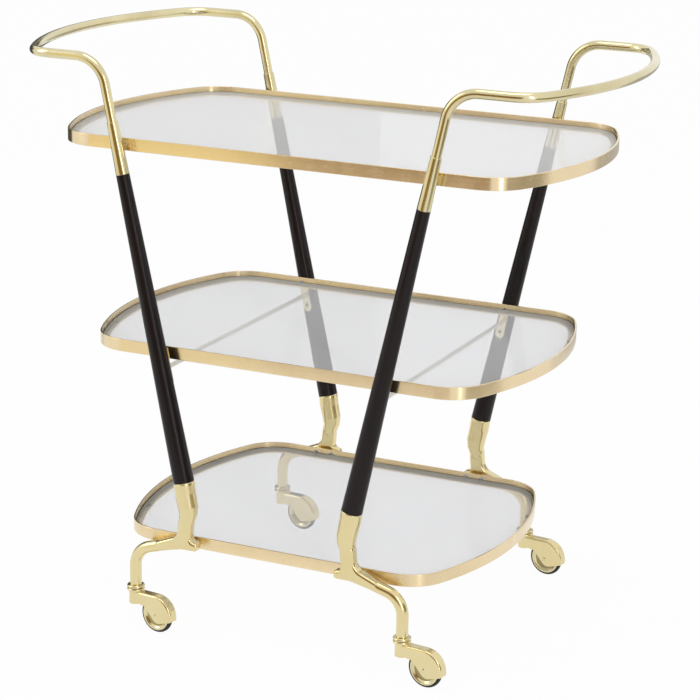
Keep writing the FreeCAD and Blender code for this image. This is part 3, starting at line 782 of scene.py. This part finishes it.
    def settle(self, name: str, material: bpy.types.Material, slot: Slot, body: str,
               nodes: Sequence[str] = (), crisp: float = 38.0, weighted: bool = True
               ) -> bpy.types.Object:
        """Turn the piece into an object that rides on its body.

        Args:
            name: Name of the piece.
            material: Its finish.
            slot: The record's slot that the finish stands for; not used.
            body: The body that it moves with.
            nodes: Nodes that it replaces.
            crisp: Angle in degrees above which an edge stays crisp.
            weighted: Whether flat faces keep flat shading beside rounded edges.

        Returns:
            The object.
        """
        limit = math.radians(crisp)
        for face in self.bm.faces:
            face.smooth = True
        for edge in self.bm.edges:
            edge.smooth = edge.calc_face_angle(0.0) < limit
        piece = put_in_scene(self.bm, name, material)
        if weighted:
            normals = piece.modifiers.new("flat_faces", "WEIGHTED_NORMAL")
            normals.keep_sharp = True
        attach(piece, body)
        if nodes:
            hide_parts(*nodes)
        LOG.info("piece %s: %d faces on %s", name, len(piece.data.polygons), body)
        return piece


def leg_place(distance: float) -> Matrix:
    """Matrix that stands an upright piece on the leg's axis, this far up from its foot."""
    return Matrix.Translation(LEG_FOOT + LEG_AXIS * distance) @ Matrix.Rotation(LEAN, 4, "Y")


@dataclass(frozen=True)
class Bow:
    """Plan of a tray or a handle: straight sides, rounded corners and bowed ends."""

    half_length: float
    bow_radius: float
    half_width: float
    corner_radius: float

    @property
    def bow_x(self) -> float:
        """X of the bowed end's centre."""
        return self.half_length - self.bow_radius

    @property
    def corner_y(self) -> float:
        """Y of the rounded corner's centre."""
        return self.half_width - self.corner_radius

    @property
    def corner_x(self) -> float:
        """X of the rounded corner's centre."""
        reach = self.bow_radius - self.corner_radius
        return self.bow_x + math.sqrt(reach ** 2 - self.corner_y ** 2)

    @property
    def meeting(self) -> float:
        """Angle, seen from the bow's centre, where the bow meets the corner."""
        return math.atan2(self.corner_y, self.corner_x - self.bow_x)

    def round_end(self, shaper: Shaper, edges: list[bmesh.types.BMEdge], z: float,
                  side: int, corner_steps: int = 20, bow_steps: int = 44
                  ) -> list[bmesh.types.BMEdge]:
        """Sweep edges round one end, anticlockwise seen from above.

        Args:
            shaper: The piece.
            edges: Edges that stand at the start of the end's first corner.
            z: Height of the turning centres.
            side: 1 for the right end, -1 for the left end.
            corner_steps: Steps of each rounded corner.
            bow_steps: Steps of the bowed end.

        Returns:
            The edges at the end of the second corner.
        """
        corner = QUARTER - self.meeting
        first = Vector((side * self.corner_x, -side * self.corner_y, z))
        second = Vector((side * self.corner_x, side * self.corner_y, z))
        edges = shaper.turn(edges, first, UP, corner, corner_steps)
        edges = shaper.turn(edges, Vector((side * self.bow_x, 0.0, z)), UP,
                            2 * self.meeting, bow_steps)
        return shaper.turn(edges, second, UP, corner, corner_steps)

    def round_tray(self, shaper: Shaper, edges: list[bmesh.types.BMEdge]) -> None:
        """Sweep edges that stand at the middle of the front side round the whole tray."""
        half = Vector((self.corner_x, 0.0, 0.0))
        edges = shaper.run(edges, half)
        edges = self.round_end(shaper, edges, 0.0, 1)
        edges = shaper.run(edges, -2 * half)
        edges = self.round_end(shaper, edges, 0.0, -1)
        shaper.run(edges, half)
        shaper.seal()


# ---------------------------------------------------------------------------------------------
# Sub-assemblies
# ---------------------------------------------------------------------------------------------


@dataclass
class Tray:
    """A brass band with its glass pane, pads and screws."""

    name: str
    top_z: float
    half_length: float
    bow_radius: float
    half_width: float = 0.200
    corner_radius: float = 0.058
    band_height: float = 0.016
    band_wall: float = 0.0025
    edge_round: float = 0.0006
    ledge_inset: float = 0.011
    ledge_top: float = 0.013
    ledge_bottom: float = 0.015
    glass_inset: float = 0.0029
    glass_bottom: float = 0.012
    glass_thickness: float = 0.005
    arris: float = 0.0006
    level_gap: float = 1e-5
    flat_from: float = 0.9

    @property
    def plan(self) -> Bow:
        """Outer plan of the band."""
        return Bow(self.half_length, self.bow_radius, self.half_width, self.corner_radius)

    def stand_section(self, shaper: Shaper) -> None:
        """Turn a section drawn as (inset, height) so that it stands across the front side."""
        to_side = Matrix.Translation((0.0, -self.half_width, self.top_z))
        shaper.place(to_side @ Matrix.Rotation(QUARTER, 4, "Z"))

    def build_band(self, workshop: Workshop) -> None:
        """Band with rounded edges and the ledge that carries the pane."""
        soft = self.edge_round
        section = (
            (0.0, 0.0, soft), (0.0, -self.band_height, soft),
            (self.band_wall, -self.band_height, soft), (self.band_wall, -self.ledge_bottom, 0.0),
            (self.ledge_inset, -self.ledge_bottom, soft / 2),
            (self.ledge_inset, -self.ledge_top, soft / 2), (self.band_wall, -self.ledge_top, 0.0),
            (self.band_wall, 0.0, soft),
        )
        shaper = Shaper()
        edges = shaper.outline(section, closed=True, segments=3)
        self.stand_section(shaper)
        self.plan.round_tray(shaper, edges)
        shaper.settle(f"{self.name}_band_strip", workshop.materials["brushed_band_brass"],
                      Slot.SATIN_BRASS, FRAME_BODY, [f"{self.name}_band"], crisp=50.0)

    def build_pane(self, workshop: Workshop) -> None:
        """Pane with ground arrises."""
        bottom = -self.glass_bottom
        top = bottom + self.glass_thickness
        inner = self.glass_inset + self.arris
        section = ((inner, bottom, 0.0), (self.glass_inset, bottom + self.arris, 0.0),
                   (self.glass_inset, top - self.arris, 0.0), (inner, top, 0.0))
        shaper = Shaper()
        edges = shaper.outline(section)
        self.stand_section(shaper)
        self.plan.round_tray(shaper, edges)
        rims = [edge for edge in shaper.bm.edges if edge.is_boundary]
        for height in (bottom, top):
            level = self.top_z + height
            shaper.cap([edge for edge in rims
                        if abs(edge.verts[0].co.z - level) < self.level_gap])
        shaper.seal()
        pane = shaper.settle(f"{self.name}_pane", workshop.materials["float_glass"],
                             Slot.CLEAR_GLASS, FRAME_BODY, [f"{self.name}_glass"], crisp=30.0,
                             weighted=False)
        pane.data.materials.append(workshop.materials["ground_glass_edge"])
        for face in pane.data.polygons:
            if abs(face.normal.z) < self.flat_from:
                face.material_index = 1

    def build(self, workshop: Workshop) -> None:
        """Make the tray's pieces and dress the nodes that stay."""
        self.build_band(workshop)
        self.build_pane(workshop)
        workshop.dress_node(f"{self.name}_glass_pads", "soft_clear_pad")
        workshop.dress_node(f"{self.name}_band_screws", "turned_steel")


@dataclass
class Handle:
    """Bent brass tube across one end of the trolley."""

    side: int
    height: float = 0.745
    half_length: float = 0.390
    bow_radius: float = 0.420
    corner_radius: float = 0.042
    bend_radius: float = 0.042
    tube_radius: float = 0.006
    seat_depth: float = 0.022
    sides: int = 40
    bend_steps: int = 28

    @property
    def name(self) -> str:
        """Side of the trolley that the handle is on."""
        return "right" if self.side > 0 else "left"

    def build(self, workshop: Workshop) -> None:
        """Sweep the tube from the front sleeve round to the back one."""
        plan = Bow(self.half_length, self.bow_radius, LEG_PLANE_Y, self.corner_radius)
        start = LEG_FOOT + LEG_AXIS * (LEG_LENGTH + SLEEVE_LENGTH - self.seat_depth)
        meet = LEG_FOOT + LEG_AXIS * ((self.height - LEG_FOOT.z) / math.cos(LEAN))
        bend = QUARTER - LEAN
        reach = self.bend_radius * math.tan(bend / 2)
        rise = LEG_AXIS * ((meet - start).length - reach)
        level_x = meet.x + reach
        level = Vector((plan.corner_x - level_x, 0.0, 0.0))
        front = Vector((0.0, -LEG_PLANE_Y, 0.0))
        centre = Vector((level_x, 0.0, self.height - self.bend_radius))
        shaper = Shaper()
        first = shaper.circle(self.tube_radius, start + front, LEG_AXIS, self.sides)
        shaper.cap(first)
        edges = shaper.run(first, rise)
        edges = shaper.turn(edges, centre + front, ACROSS, bend, self.bend_steps)
        edges = shaper.run(edges, level)
        edges = plan.round_end(shaper, edges, self.height, 1)
        edges = shaper.run(edges, -level)
        edges = shaper.turn(edges, centre - front, ACROSS, -bend, self.bend_steps)
        edges = shaper.run(edges, -rise)
        shaper.cap(edges)
        shaper.seal()
        shaper.place(Matrix.Diagonal((self.side, 1.0, 1.0, 1.0)))
        shaper.settle(f"{self.name}_handle_tube", workshop.materials["polished_tube_brass"],
                      Slot.POLISHED_BRASS, FRAME_BODY, [f"handle_{self.name}"])


@dataclass
class Leg:
    """Turned wooden leg with its brass sleeve."""

    corner: Corner
    foot_radius: float = 0.0135
    top_radius: float = 0.0085
    end_round: float = 0.0004
    sleeve_top_radius: float = 0.0071
    sleeve_lip: float = 0.0006
    tube_radius: float = 0.0061
    tube_recess: float = 0.004

    def build(self, workshop: Workshop) -> None:
        """Make the leg and the sleeve."""
        side = "right" if self.corner.value[0] > 0 else "left"
        soft = self.end_round
        wood = Shaper()
        wood.revolve(((0.0, 0.0, 0.0), (self.foot_radius, 0.0, soft),
                      (self.top_radius, LEG_LENGTH, soft), (0.0, LEG_LENGTH, 0.0)))
        wood.place(self.corner.from_leg_plane() @ leg_place(0.0))
        wood.settle(f"{self.corner.label}_turned_leg",
                    workshop.materials[f"ebonised_wood_{side}"], Slot.EBONISED_WOOD,
                    FRAME_BODY, [f"leg_{self.corner.label}"])
        sleeve = Shaper()
        sleeve.revolve((
            (0.0, 0.0, 0.0), (self.top_radius, 0.0, soft),
            (self.sleeve_top_radius, SLEEVE_LENGTH, self.sleeve_lip),
            (self.tube_radius, SLEEVE_LENGTH, soft / 2),
            (self.tube_radius, SLEEVE_LENGTH - self.tube_recess, 0.0),
            (0.0, SLEEVE_LENGTH - self.tube_recess, 0.0)))
        sleeve.place(self.corner.from_leg_plane() @ leg_place(LEG_LENGTH))
        sleeve.settle(f"{self.corner.label}_leg_sleeve",
                      workshop.materials["polished_tube_brass"], Slot.POLISHED_BRASS,
                      FRAME_BODY, [f"sleeve_{self.corner.label}"])


@dataclass
class FootCasting:
    """Cast foot: cup under the leg, T-shaped body on the band, arm and stem."""

    cup_radius: float = 0.0137
    cup_rim: float = 0.004
    body_half: float = 0.00775
    body_round: float = 0.0042
    arm_radius: float = 0.00775
    arm_start: tuple[float, float] = (0.112, 0.1302)
    arm_corner_z: float = 0.1075
    arm_bend: float = 0.030
    stem_bottom: float = 0.0576
    boss_radius: float = 0.0046
    boss_z: float = 0.126
    voxel: float = 0.0007
    smoothing: int = 7
    cup_sides: int = 48
    arm_sides: int = 40
    boss_sides: int = 24
    arm_steps: int = 16

    # Below the cup's rim: centre x, centre z, radius along x, radius along y, lean in degrees.
    SECTIONS = (
        (0.1160, 0.1955, 0.0136, 0.0136, 12.0),
        (0.1122, 0.1780, 0.0131, 0.0131, 5.0),
        (0.1118, 0.1675, 0.0117, 0.0117, -2.0),
        (0.1136, 0.1590, 0.0100, 0.0100, -8.0),
        (0.1150, 0.1530, 0.0096, 0.0086, -4.0),
    )
    # Side view of the T-shaped body: x, z, corner radius.
    BODY = (
        (0.1042, 0.1660, 0.0053), (0.1068, 0.1325, 0.0055), (0.0965, 0.1310, 0.0043),
        (0.0965, 0.1200, 0.0043), (0.1200, 0.1196, 0.0200), (0.1560, 0.1116, 0.0053),
        (0.1595, 0.1230, 0.0053), (0.1260, 0.1370, 0.0140), (0.1232, 0.1660, 0.0053),
    )
    BOSSES = (0.1045, 0.1280)

    def draw_cup(self, shaper: Shaper) -> None:
        """Rings of the socket, bridged into a closed form."""
        rings = [shaper.circle(self.cup_radius, LEG_FOOT - LEG_AXIS * drop, LEG_AXIS,
                               self.cup_sides) for drop in (0.0, self.cup_rim)]
        for x, z, along, across, lean in self.SECTIONS:
            turn = math.radians(lean)
            axis = Vector((math.sin(turn), 0.0, math.cos(turn)))
            ring = shaper.circle(along, Vector((x, 0.0, z)), axis, self.cup_sides)
            verts = list({vert for edge in ring for vert in edge.verts})
            bmesh.ops.scale(shaper.bm, verts=verts, vec=(1.0, across / along, 1.0))
            rings.append(ring)
        for upper, lower in zip(rings, rings[1:]):
            bmesh.ops.bridge_loops(shaper.bm, edges=upper + lower)
        shaper.cap(rings[0])
        shaper.cap(rings[-1])

    def draw_body(self, shaper: Shaper) -> None:
        """T-shaped plate with rounded edges."""
        points = []
        for index, (x, z, radius) in enumerate(self.BODY):
            here = Vector((x, z))
            back = Vector(self.BODY[index - 1][:2]) - here
            ahead = Vector(self.BODY[(index + 1) % len(self.BODY)][:2]) - here
            points.append((x, z, radius / math.tan(back.angle(ahead) / 2)))
        edges = shaper.outline(points, closed=True, segments=6)
        verts = list({vert for edge in edges for vert in edge.verts})
        bmesh.ops.translate(shaper.bm, verts=verts, vec=-ACROSS * self.body_half)
        far = shaper.run(edges, 2 * ACROSS * self.body_half)
        shaper.cap(edges)
        shaper.cap(far)
        shaper.seal()
        bmesh.ops.bevel(shaper.bm, geom=edges + far, offset=self.body_round,
                        offset_type="OFFSET", segments=4, profile=0.5, affect="EDGES",
                        material=-1)

    def draw_arm(self, shaper: Shaper) -> None:
        """Round bar out to the corner and down to the caster."""
        start = Vector((self.arm_start[0], 0.0, self.arm_start[1]))
        corner = Vector((STEM_X, 0.0, self.arm_corner_z))
        ahead = (corner - start).normalized()
        angle = ahead.angle(-UP)
        reach = self.arm_bend * math.tan(angle / 2)
        centre = corner - UP * reach - ALONG * self.arm_bend
        first = shaper.circle(self.arm_radius, start, ahead, self.arm_sides)
        shaper.cap(first)
        edges = shaper.run(first, ahead * ((corner - start).length - reach))
        edges = shaper.turn(edges, centre, ACROSS, angle, self.arm_steps)
        edges = shaper.run(edges, -UP * (corner.z - reach - self.stem_bottom))
        shaper.cap(edges)

    def build(self, workshop: Workshop) -> None:
        """Melt the volumes into one casting and place it at every corner."""
        casting = Shaper()
        self.draw_cup(casting)
        self.draw_body(casting)
        self.draw_arm(casting)
        reach = LEG_PLANE_Y - 0.200
        for x in self.BOSSES:
            centre = Vector((x, 0.0, self.boss_z))
            shape = casting.circle(self.boss_radius, centre, ACROSS, self.boss_sides)
            casting.cap(shape)
            casting.cap(casting.run(shape, ACROSS * reach))
        casting.seal()
        casting.melt(self.voxel, self.smoothing)
        for corner in Corner:
            casting.copy().place(corner.from_leg_plane()).settle(
                f"{corner.label}_cast_foot", workshop.materials["polished_cast_brass"],
                Slot.CAST_BRASS, FRAME_BODY, [f"foot_casting_{corner.label}"], crisp=80.0,
                weighted=False)
        casting.bm.free()


@dataclass
class Caster:
    """Collar, hood, riveted axle, brass wheel and tyre of one swivel caster."""

    corner: Corner
    collar_radius: float = 0.0117
    collar_bottom: float = 0.0543
    collar_top: float = 0.0583
    collar_round: float = 0.0019
    hood_half: float = 0.0075
    rivet_radius: float = 0.0034
    rivet_height: float = 0.0007
    rivet_flat: float = 0.75
    rivet_dome: float = 0.4
    bore: float = 0.00255
    hub_radius: float = 0.0060
    hub_half: float = 0.0056
    web_half: float = 0.0015
    dish_radius: float = 0.0152
    # Depth from the wheel's middle within which faces get the darker dish brass, the painted
    # shade.
    dish_depth: float = 0.0018
    rim_inner: float = 0.0184
    rim_outer: float = 0.0206
    rim_half: float = 0.0042
    groove_half: float = 0.0034
    groove_radius: float = 0.0192
    tyre_radius: float = 0.0240
    tyre_shoulder: float = 0.0229
    tyre_tread_half: float = 0.0014
    soft: float = 0.0005
    steps: int = 96

    @property
    def wheel_place(self) -> Matrix:
        """Matrix that puts a piece turned about Z on the wheel's axis."""
        axle = Matrix.Translation((WHEEL_TRAIL, 0.0, WHEEL_CENTRE_Z))
        return self.corner.from_kingpin() @ axle @ Matrix.Rotation(QUARTER, 4, "X")

    @staticmethod
    def both_sides(half: Sequence[Sequence[float]]) -> list[Sequence[float]]:
        """A section and its mirror image, so that it closes round the wheel's middle."""
        return list(half) + [(radius, -z, run) for radius, z, run in reversed(half)]

    def build_ring(self, shaper: Shaper, half: Sequence[Sequence[float]]) -> None:
        """Turn a closed symmetrical section into a ring and put it on the axle."""
        edges = shaper.outline(self.both_sides(half), closed=True, segments=3)
        verts = list({vert for edge in edges for vert in edge.verts})
        bmesh.ops.spin(shaper.bm, geom=edges + verts, cent=(0.0, 0.0, 0.0), axis=UP,
                       angle=FULL, steps=self.steps, use_merge=True)
        shaper.seal()
        shaper.place(self.wheel_place)

    def build_wheel(self, workshop: Workshop) -> None:
        """Wheel with its hub, dished web and grooved rim, and the tyre in the groove."""
        label, soft = self.corner.label, self.soft
        wheel = Shaper()
        self.build_ring(wheel, (
            (self.bore, self.hub_half, soft / 2), (self.hub_radius, self.hub_half, soft),
            (self.hub_radius, self.web_half, soft),
            (self.dish_radius, self.web_half, 2 * soft),
            (self.rim_inner, self.rim_half, 2 * soft), (self.rim_outer, self.rim_half, soft),
            (self.rim_outer, self.groove_half, 0.0), (self.groove_radius, self.groove_half, 0.0)))
        disc = wheel.settle(f"{label}_caster_wheel", workshop.materials["polished_tube_brass"],
                            Slot.POLISHED_BRASS, f"wheel_set_{label}", [f"wheel_{label}"])
        # Faces of the dished web get the darker brass: painted shade in the recess between rim
        # and hub.
        disc.data.materials.append(workshop.materials["shade_painted_dish_brass"])
        to_axle = self.wheel_place.inverted()
        for face in disc.data.polygons:
            spot = to_axle @ face.center
            if abs(spot.z) < self.dish_depth and self.hub_radius < spot.xy.length:
                face.material_index = 1
        tyre = Shaper()
        self.build_ring(tyre, (
            (self.groove_radius, self.groove_half, 0.0),
            (self.tyre_shoulder, self.groove_half, 2 * soft),
            (self.tyre_radius, self.tyre_tread_half, 2 * soft)))
        tyre.settle(f"{label}_caster_tyre", workshop.materials["tyre_rubber"], Slot.TYRE,
                    f"wheel_set_{label}", [f"tyre_{label}"])

    def build_rivets(self, workshop: Workshop) -> None:
        """Axle with a domed riveted head on each cheek."""
        axle = Shaper()
        height, radius = self.rivet_height, self.rivet_radius
        axle.revolve((
            (0.0, -self.hood_half - height, 0.0),
            (radius * self.rivet_flat, -self.hood_half - height, radius * self.rivet_dome),
            (radius, -self.hood_half, 0.0), (self.bore, -self.hood_half, 0.0),
            (self.bore, self.hood_half, 0.0), (radius, self.hood_half, 0.0),
            (radius * self.rivet_flat, self.hood_half + height, radius * self.rivet_dome),
            (0.0, self.hood_half + height, 0.0)), steps=40)
        axle.place(self.wheel_place)
        axle.settle(f"{self.corner.label}_caster_axle",
                    workshop.materials["polished_tube_brass"], Slot.POLISHED_BRASS,
                    f"caster_{self.corner.label}", [f"axle_{self.corner.label}"])

    def build_collar(self, workshop: Workshop) -> None:
        """Rounded ring under the casting's stem."""
        low, high = self.collar_bottom, self.collar_top
        collar = Shaper()
        collar.revolve(((0.0, low, 0.0), (self.collar_radius, low, self.collar_round),
                        (self.collar_radius, high, self.collar_round), (0.0, high, 0.0)),
                       segments=6)
        collar.place(self.corner.from_kingpin())
        collar.settle(f"{self.corner.label}_stem_collar",
                      workshop.materials["polished_tube_brass"], Slot.POLISHED_BRASS,
                      FRAME_BODY, [f"swivel_collar_{self.corner.label}"])

    def build(self, workshop: Workshop, hood: Shaper) -> None:
        """Make the caster's pieces, with the hood from its finished pattern."""
        label = self.corner.label
        hood.copy().place(self.corner.from_kingpin()).settle(
            f"{label}_caster_cover", workshop.materials["polished_cast_brass"],
            Slot.CAST_BRASS, f"caster_{label}", [f"caster_hood_{label}"], crisp=80.0,
            weighted=False)
        self.build_rivets(workshop)
        self.build_wheel(workshop)
        self.build_collar(workshop)
        workshop.dress_node(f"kingpin_{label}", "turned_steel")


def hood_pattern(voxel: float = 0.00045, rounds: int = 3) -> Shaper:
    """Hood of one caster, melted to soft polished edges and drawn round its kingpin.

    Args:
        voxel: Size of the melting grid.
        rounds: Rounds of smoothing.

    Returns:
        The pattern.
    """
    corner = Corner.FRONT_LEFT
    pattern = Shaper(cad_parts[f"caster_hood_{corner.label}"].data)
    pattern.place(corner.from_kingpin().inverted())
    pattern.melt(voxel, rounds)
    return pattern


@dataclass
class Fittings:
    """Rods, brackets, spacers and studs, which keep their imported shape."""

    brass: tuple[str, ...] = ("rod_brackets", "top_spacers")
    rods: tuple[str, ...] = ("cross_rod_left", "cross_rod_right")
    steel: tuple[str, ...] = ("handle_studs", "foot_studs")

    def build(self, workshop: Workshop) -> None:
        """Dress each of them."""
        for node in self.brass:
            workshop.dress_node(node, "polished_tube_brass")
        for node in self.rods:
            workshop.dress_node(node, "satin_rod_brass")
        for node in self.steel:
            workshop.dress_node(node, "turned_steel")


# ---------------------------------------------------------------------------------------------
# Studio
# ---------------------------------------------------------------------------------------------


def towards(azimuth: float, elevation: float) -> Vector:
    """Direction from the trolley, in degrees: azimuth 0 is the front, 90 the right side."""
    turn, rise = math.radians(azimuth), math.radians(elevation)
    return Vector((math.sin(turn) * math.cos(rise), -math.cos(turn) * math.cos(rise),
                   math.sin(rise)))


def facing(back: Vector, place: Vector) -> Matrix:
    """Matrix that stands a lamp or flag at a place, with its back this way."""
    return Matrix.Translation(place) @ back.to_track_quat("Z", "Y").to_matrix().to_4x4()


@dataclass(frozen=True)
class Viewpoint:
    """The photograph's camera."""

    azimuth: float = 24.72
    elevation: float = 16.13
    distance: float = 3.09475
    target: tuple[float, float, float] = (0.01087, 0.00562, 0.3477)
    roll: float = 1.028
    focal_pixels: float = 2344.26
    picture_pixels: float = 700.0
    sensor: float = 36.0

    def build(self) -> None:
        """Make the camera and use it."""
        back = towards(self.azimuth, self.elevation)
        right = UP.cross(back).normalized()
        up = back.cross(right)
        turn = math.radians(self.roll)
        side = right * math.cos(turn) + up * math.sin(turn)
        top = up * math.cos(turn) - right * math.sin(turn)
        data = bpy.data.cameras.new("viewpoint")
        data.sensor_width = self.sensor
        data.lens = self.focal_pixels / self.picture_pixels * self.sensor
        camera = bpy.data.objects.new("viewpoint", data)
        bpy.context.scene.collection.objects.link(camera)
        place = Matrix((side, top, back)).transposed().to_4x4()
        place.translation = Vector(self.target) + back * self.distance
        camera.matrix_world = place
        bpy.context.scene.camera = camera


@dataclass(frozen=True)
class Softbox:
    """A large soft lamp that faces the trolley."""

    name: str
    azimuth: float
    elevation: float
    distance: float
    width: float
    height: float
    power: float
    aim_height: float = 0.4

    def build(self) -> None:
        """Make the lamp."""
        data = bpy.data.lights.new(self.name, "AREA")
        data.shape = "RECTANGLE"
        data.size, data.size_y, data.energy = self.width, self.height, self.power
        lamp = bpy.data.objects.new(self.name, data)
        back = towards(self.azimuth, self.elevation)
        lamp.matrix_world = facing(back, UP * self.aim_height + back * self.distance)
        lamp.visible_transmission = False
        bpy.context.scene.collection.objects.link(lamp)


@dataclass(frozen=True)
class Flag:
    """An upright studio flag that stands on the floor and that only polished surfaces see."""

    name: str
    azimuth: float
    distance: float
    width: float
    height: float
    shade: Colour

    def build(self) -> None:
        """Make the flag."""
        material = bpy.data.materials.new(self.name)
        material.use_nodes = True
        graph = Graph(material.node_tree)
        glow = graph.add("Emission", {"Color": (*self.shade, 1.0)})
        graph.add("OutputMaterial", {"Surface": glow.outputs[0]})
        bm = bmesh.new()
        bmesh.ops.create_grid(bm, x_segments=1, y_segments=1, size=0.5)
        bmesh.ops.scale(bm, vec=(self.width, self.height, 1.0), verts=bm.verts)
        back = towards(self.azimuth, 0.0)
        middle = back * self.distance + UP * (self.height / 2)
        bmesh.ops.transform(bm, verts=bm.verts, matrix=facing(back, middle))
        flag = put_in_scene(bm, self.name, material)
        for ray in ("camera", "diffuse", "transmission", "volume_scatter", "shadow"):
            setattr(flag, f"visible_{ray}", False)


@dataclass(frozen=True)
class Studio:
    """Plain pale floor and backdrop, soft lamps and flags."""

    ambient: float = 0.72
    floor_colour: float = 0.90
    floor_lift: float = 0.96
    floor_size: float = 14.0
    lamps: tuple[Softbox, ...] = (
        Softbox("right_softbox", 48.0, 14.0, 2.6, 0.16, 1.9, 8.0),
        Softbox("left_softbox", -62.0, 30.0, 2.8, 0.9, 1.6, 10.0),
        Softbox("top_softbox", 10.0, 82.0, 2.4, 1.4, 1.0, 10.0),
    )
    flags: tuple[Flag, ...] = (
        Flag("front_flag", 1.0, 2.0, 1.9, 1.4, (0.32, 0.19, 0.07)),
        Flag("warm_flag", -30.5, 2.3, 0.62, 1.4, (0.98, 0.84, 0.42)),
        Flag("right_flag", 84.0, 1.35, 1.25, 0.55, (0.30, 0.27, 0.20)),
        Flag("back_flag", 170.0, 1.4, 1.5, 0.6, (0.50, 0.50, 0.48)),
        Flag("far_left_flag", -114.0, 1.9, 1.5, 1.4, (0.08, 0.08, 0.065)),
        Flag("left_back_flag", -146.0, 2.3, 0.9, 1.4, (0.12, 0.12, 0.10)),
    )

    @staticmethod
    def seen_directly(graph: Graph) -> bpy.types.NodeSocket:
        """Mask of what the camera, polished surfaces and glass see."""
        path = graph.add("LightPath")
        seen = graph.math("MAXIMUM", path.outputs["Is Camera Ray"],
                          path.outputs["Is Glossy Ray"])
        return graph.math("MAXIMUM", seen, path.outputs["Is Transmission Ray"])

    def build_backdrop(self) -> None:
        """White world for what is seen, a plain level for what it lights."""
        world = bpy.data.worlds.new("studio")
        bpy.context.scene.world = world
        world.use_nodes = True
        graph = Graph(world.node_tree)
        level = self.ambient
        light = graph.add("Background", {"Color": (level, level, level, 1.0)})
        white = graph.add("Background", {"Color": (1.0, 1.0, 1.0, 1.0)})
        both = graph.add("MixShader", {"#0": self.seen_directly(graph),
                                       "#1": light.outputs[0], "#2": white.outputs[0]})
        graph.add("OutputWorld", {"Surface": both.outputs[0]})

    def build_floor(self) -> None:
        """White floor that keeps the trolley's soft shadow."""
        material = bpy.data.materials.new("pale_floor")
        material.use_nodes = True
        graph = Graph(material.node_tree)
        pale = self.floor_colour
        paint = graph.add("BsdfDiffuse", {"Color": (pale, pale, pale, 1.0)})
        white = graph.add("Emission", {"Color": (1.0, 1.0, 1.0, 1.0)})
        share = graph.math("MULTIPLY", self.seen_directly(graph), self.floor_lift)
        both = graph.add("MixShader", {"#0": share, "#1": paint.outputs[0],
                                       "#2": white.outputs[0]})
        graph.add("OutputMaterial", {"Surface": both.outputs[0]})
        bm = bmesh.new()
        bmesh.ops.create_grid(bm, x_segments=1, y_segments=1, size=self.floor_size / 2)
        put_in_scene(bm, "studio_floor", material)

    def build(self) -> None:
        """Set up the whole studio."""
        self.build_backdrop()
        self.build_floor()
        for lamp in self.lamps:
            lamp.build()
        for flag in self.flags:
            flag.build()
        bpy.context.scene.view_settings.view_transform = "Standard"


def main() -> None:
    """Build the studio and every piece of the trolley."""
    Viewpoint().build()
    Studio().build()
    workshop = Workshop()
    for tray in (Tray("top", 0.645, 0.350, 0.380), Tray("middle", 0.383, 0.3025, 0.410),
                 Tray("bottom", 0.133, 0.255, 0.410)):
        tray.build(workshop)
    for side in (1, -1):
        Handle(side).build(workshop)
    FootCasting().build(workshop)
    hood = hood_pattern()
    for corner in Corner:
        Leg(corner).build(workshop)
        Caster(corner).build(workshop, hood)
    hood.bm.free()
    Fittings().build(workshop)


if __name__ == "__main__":
    main()
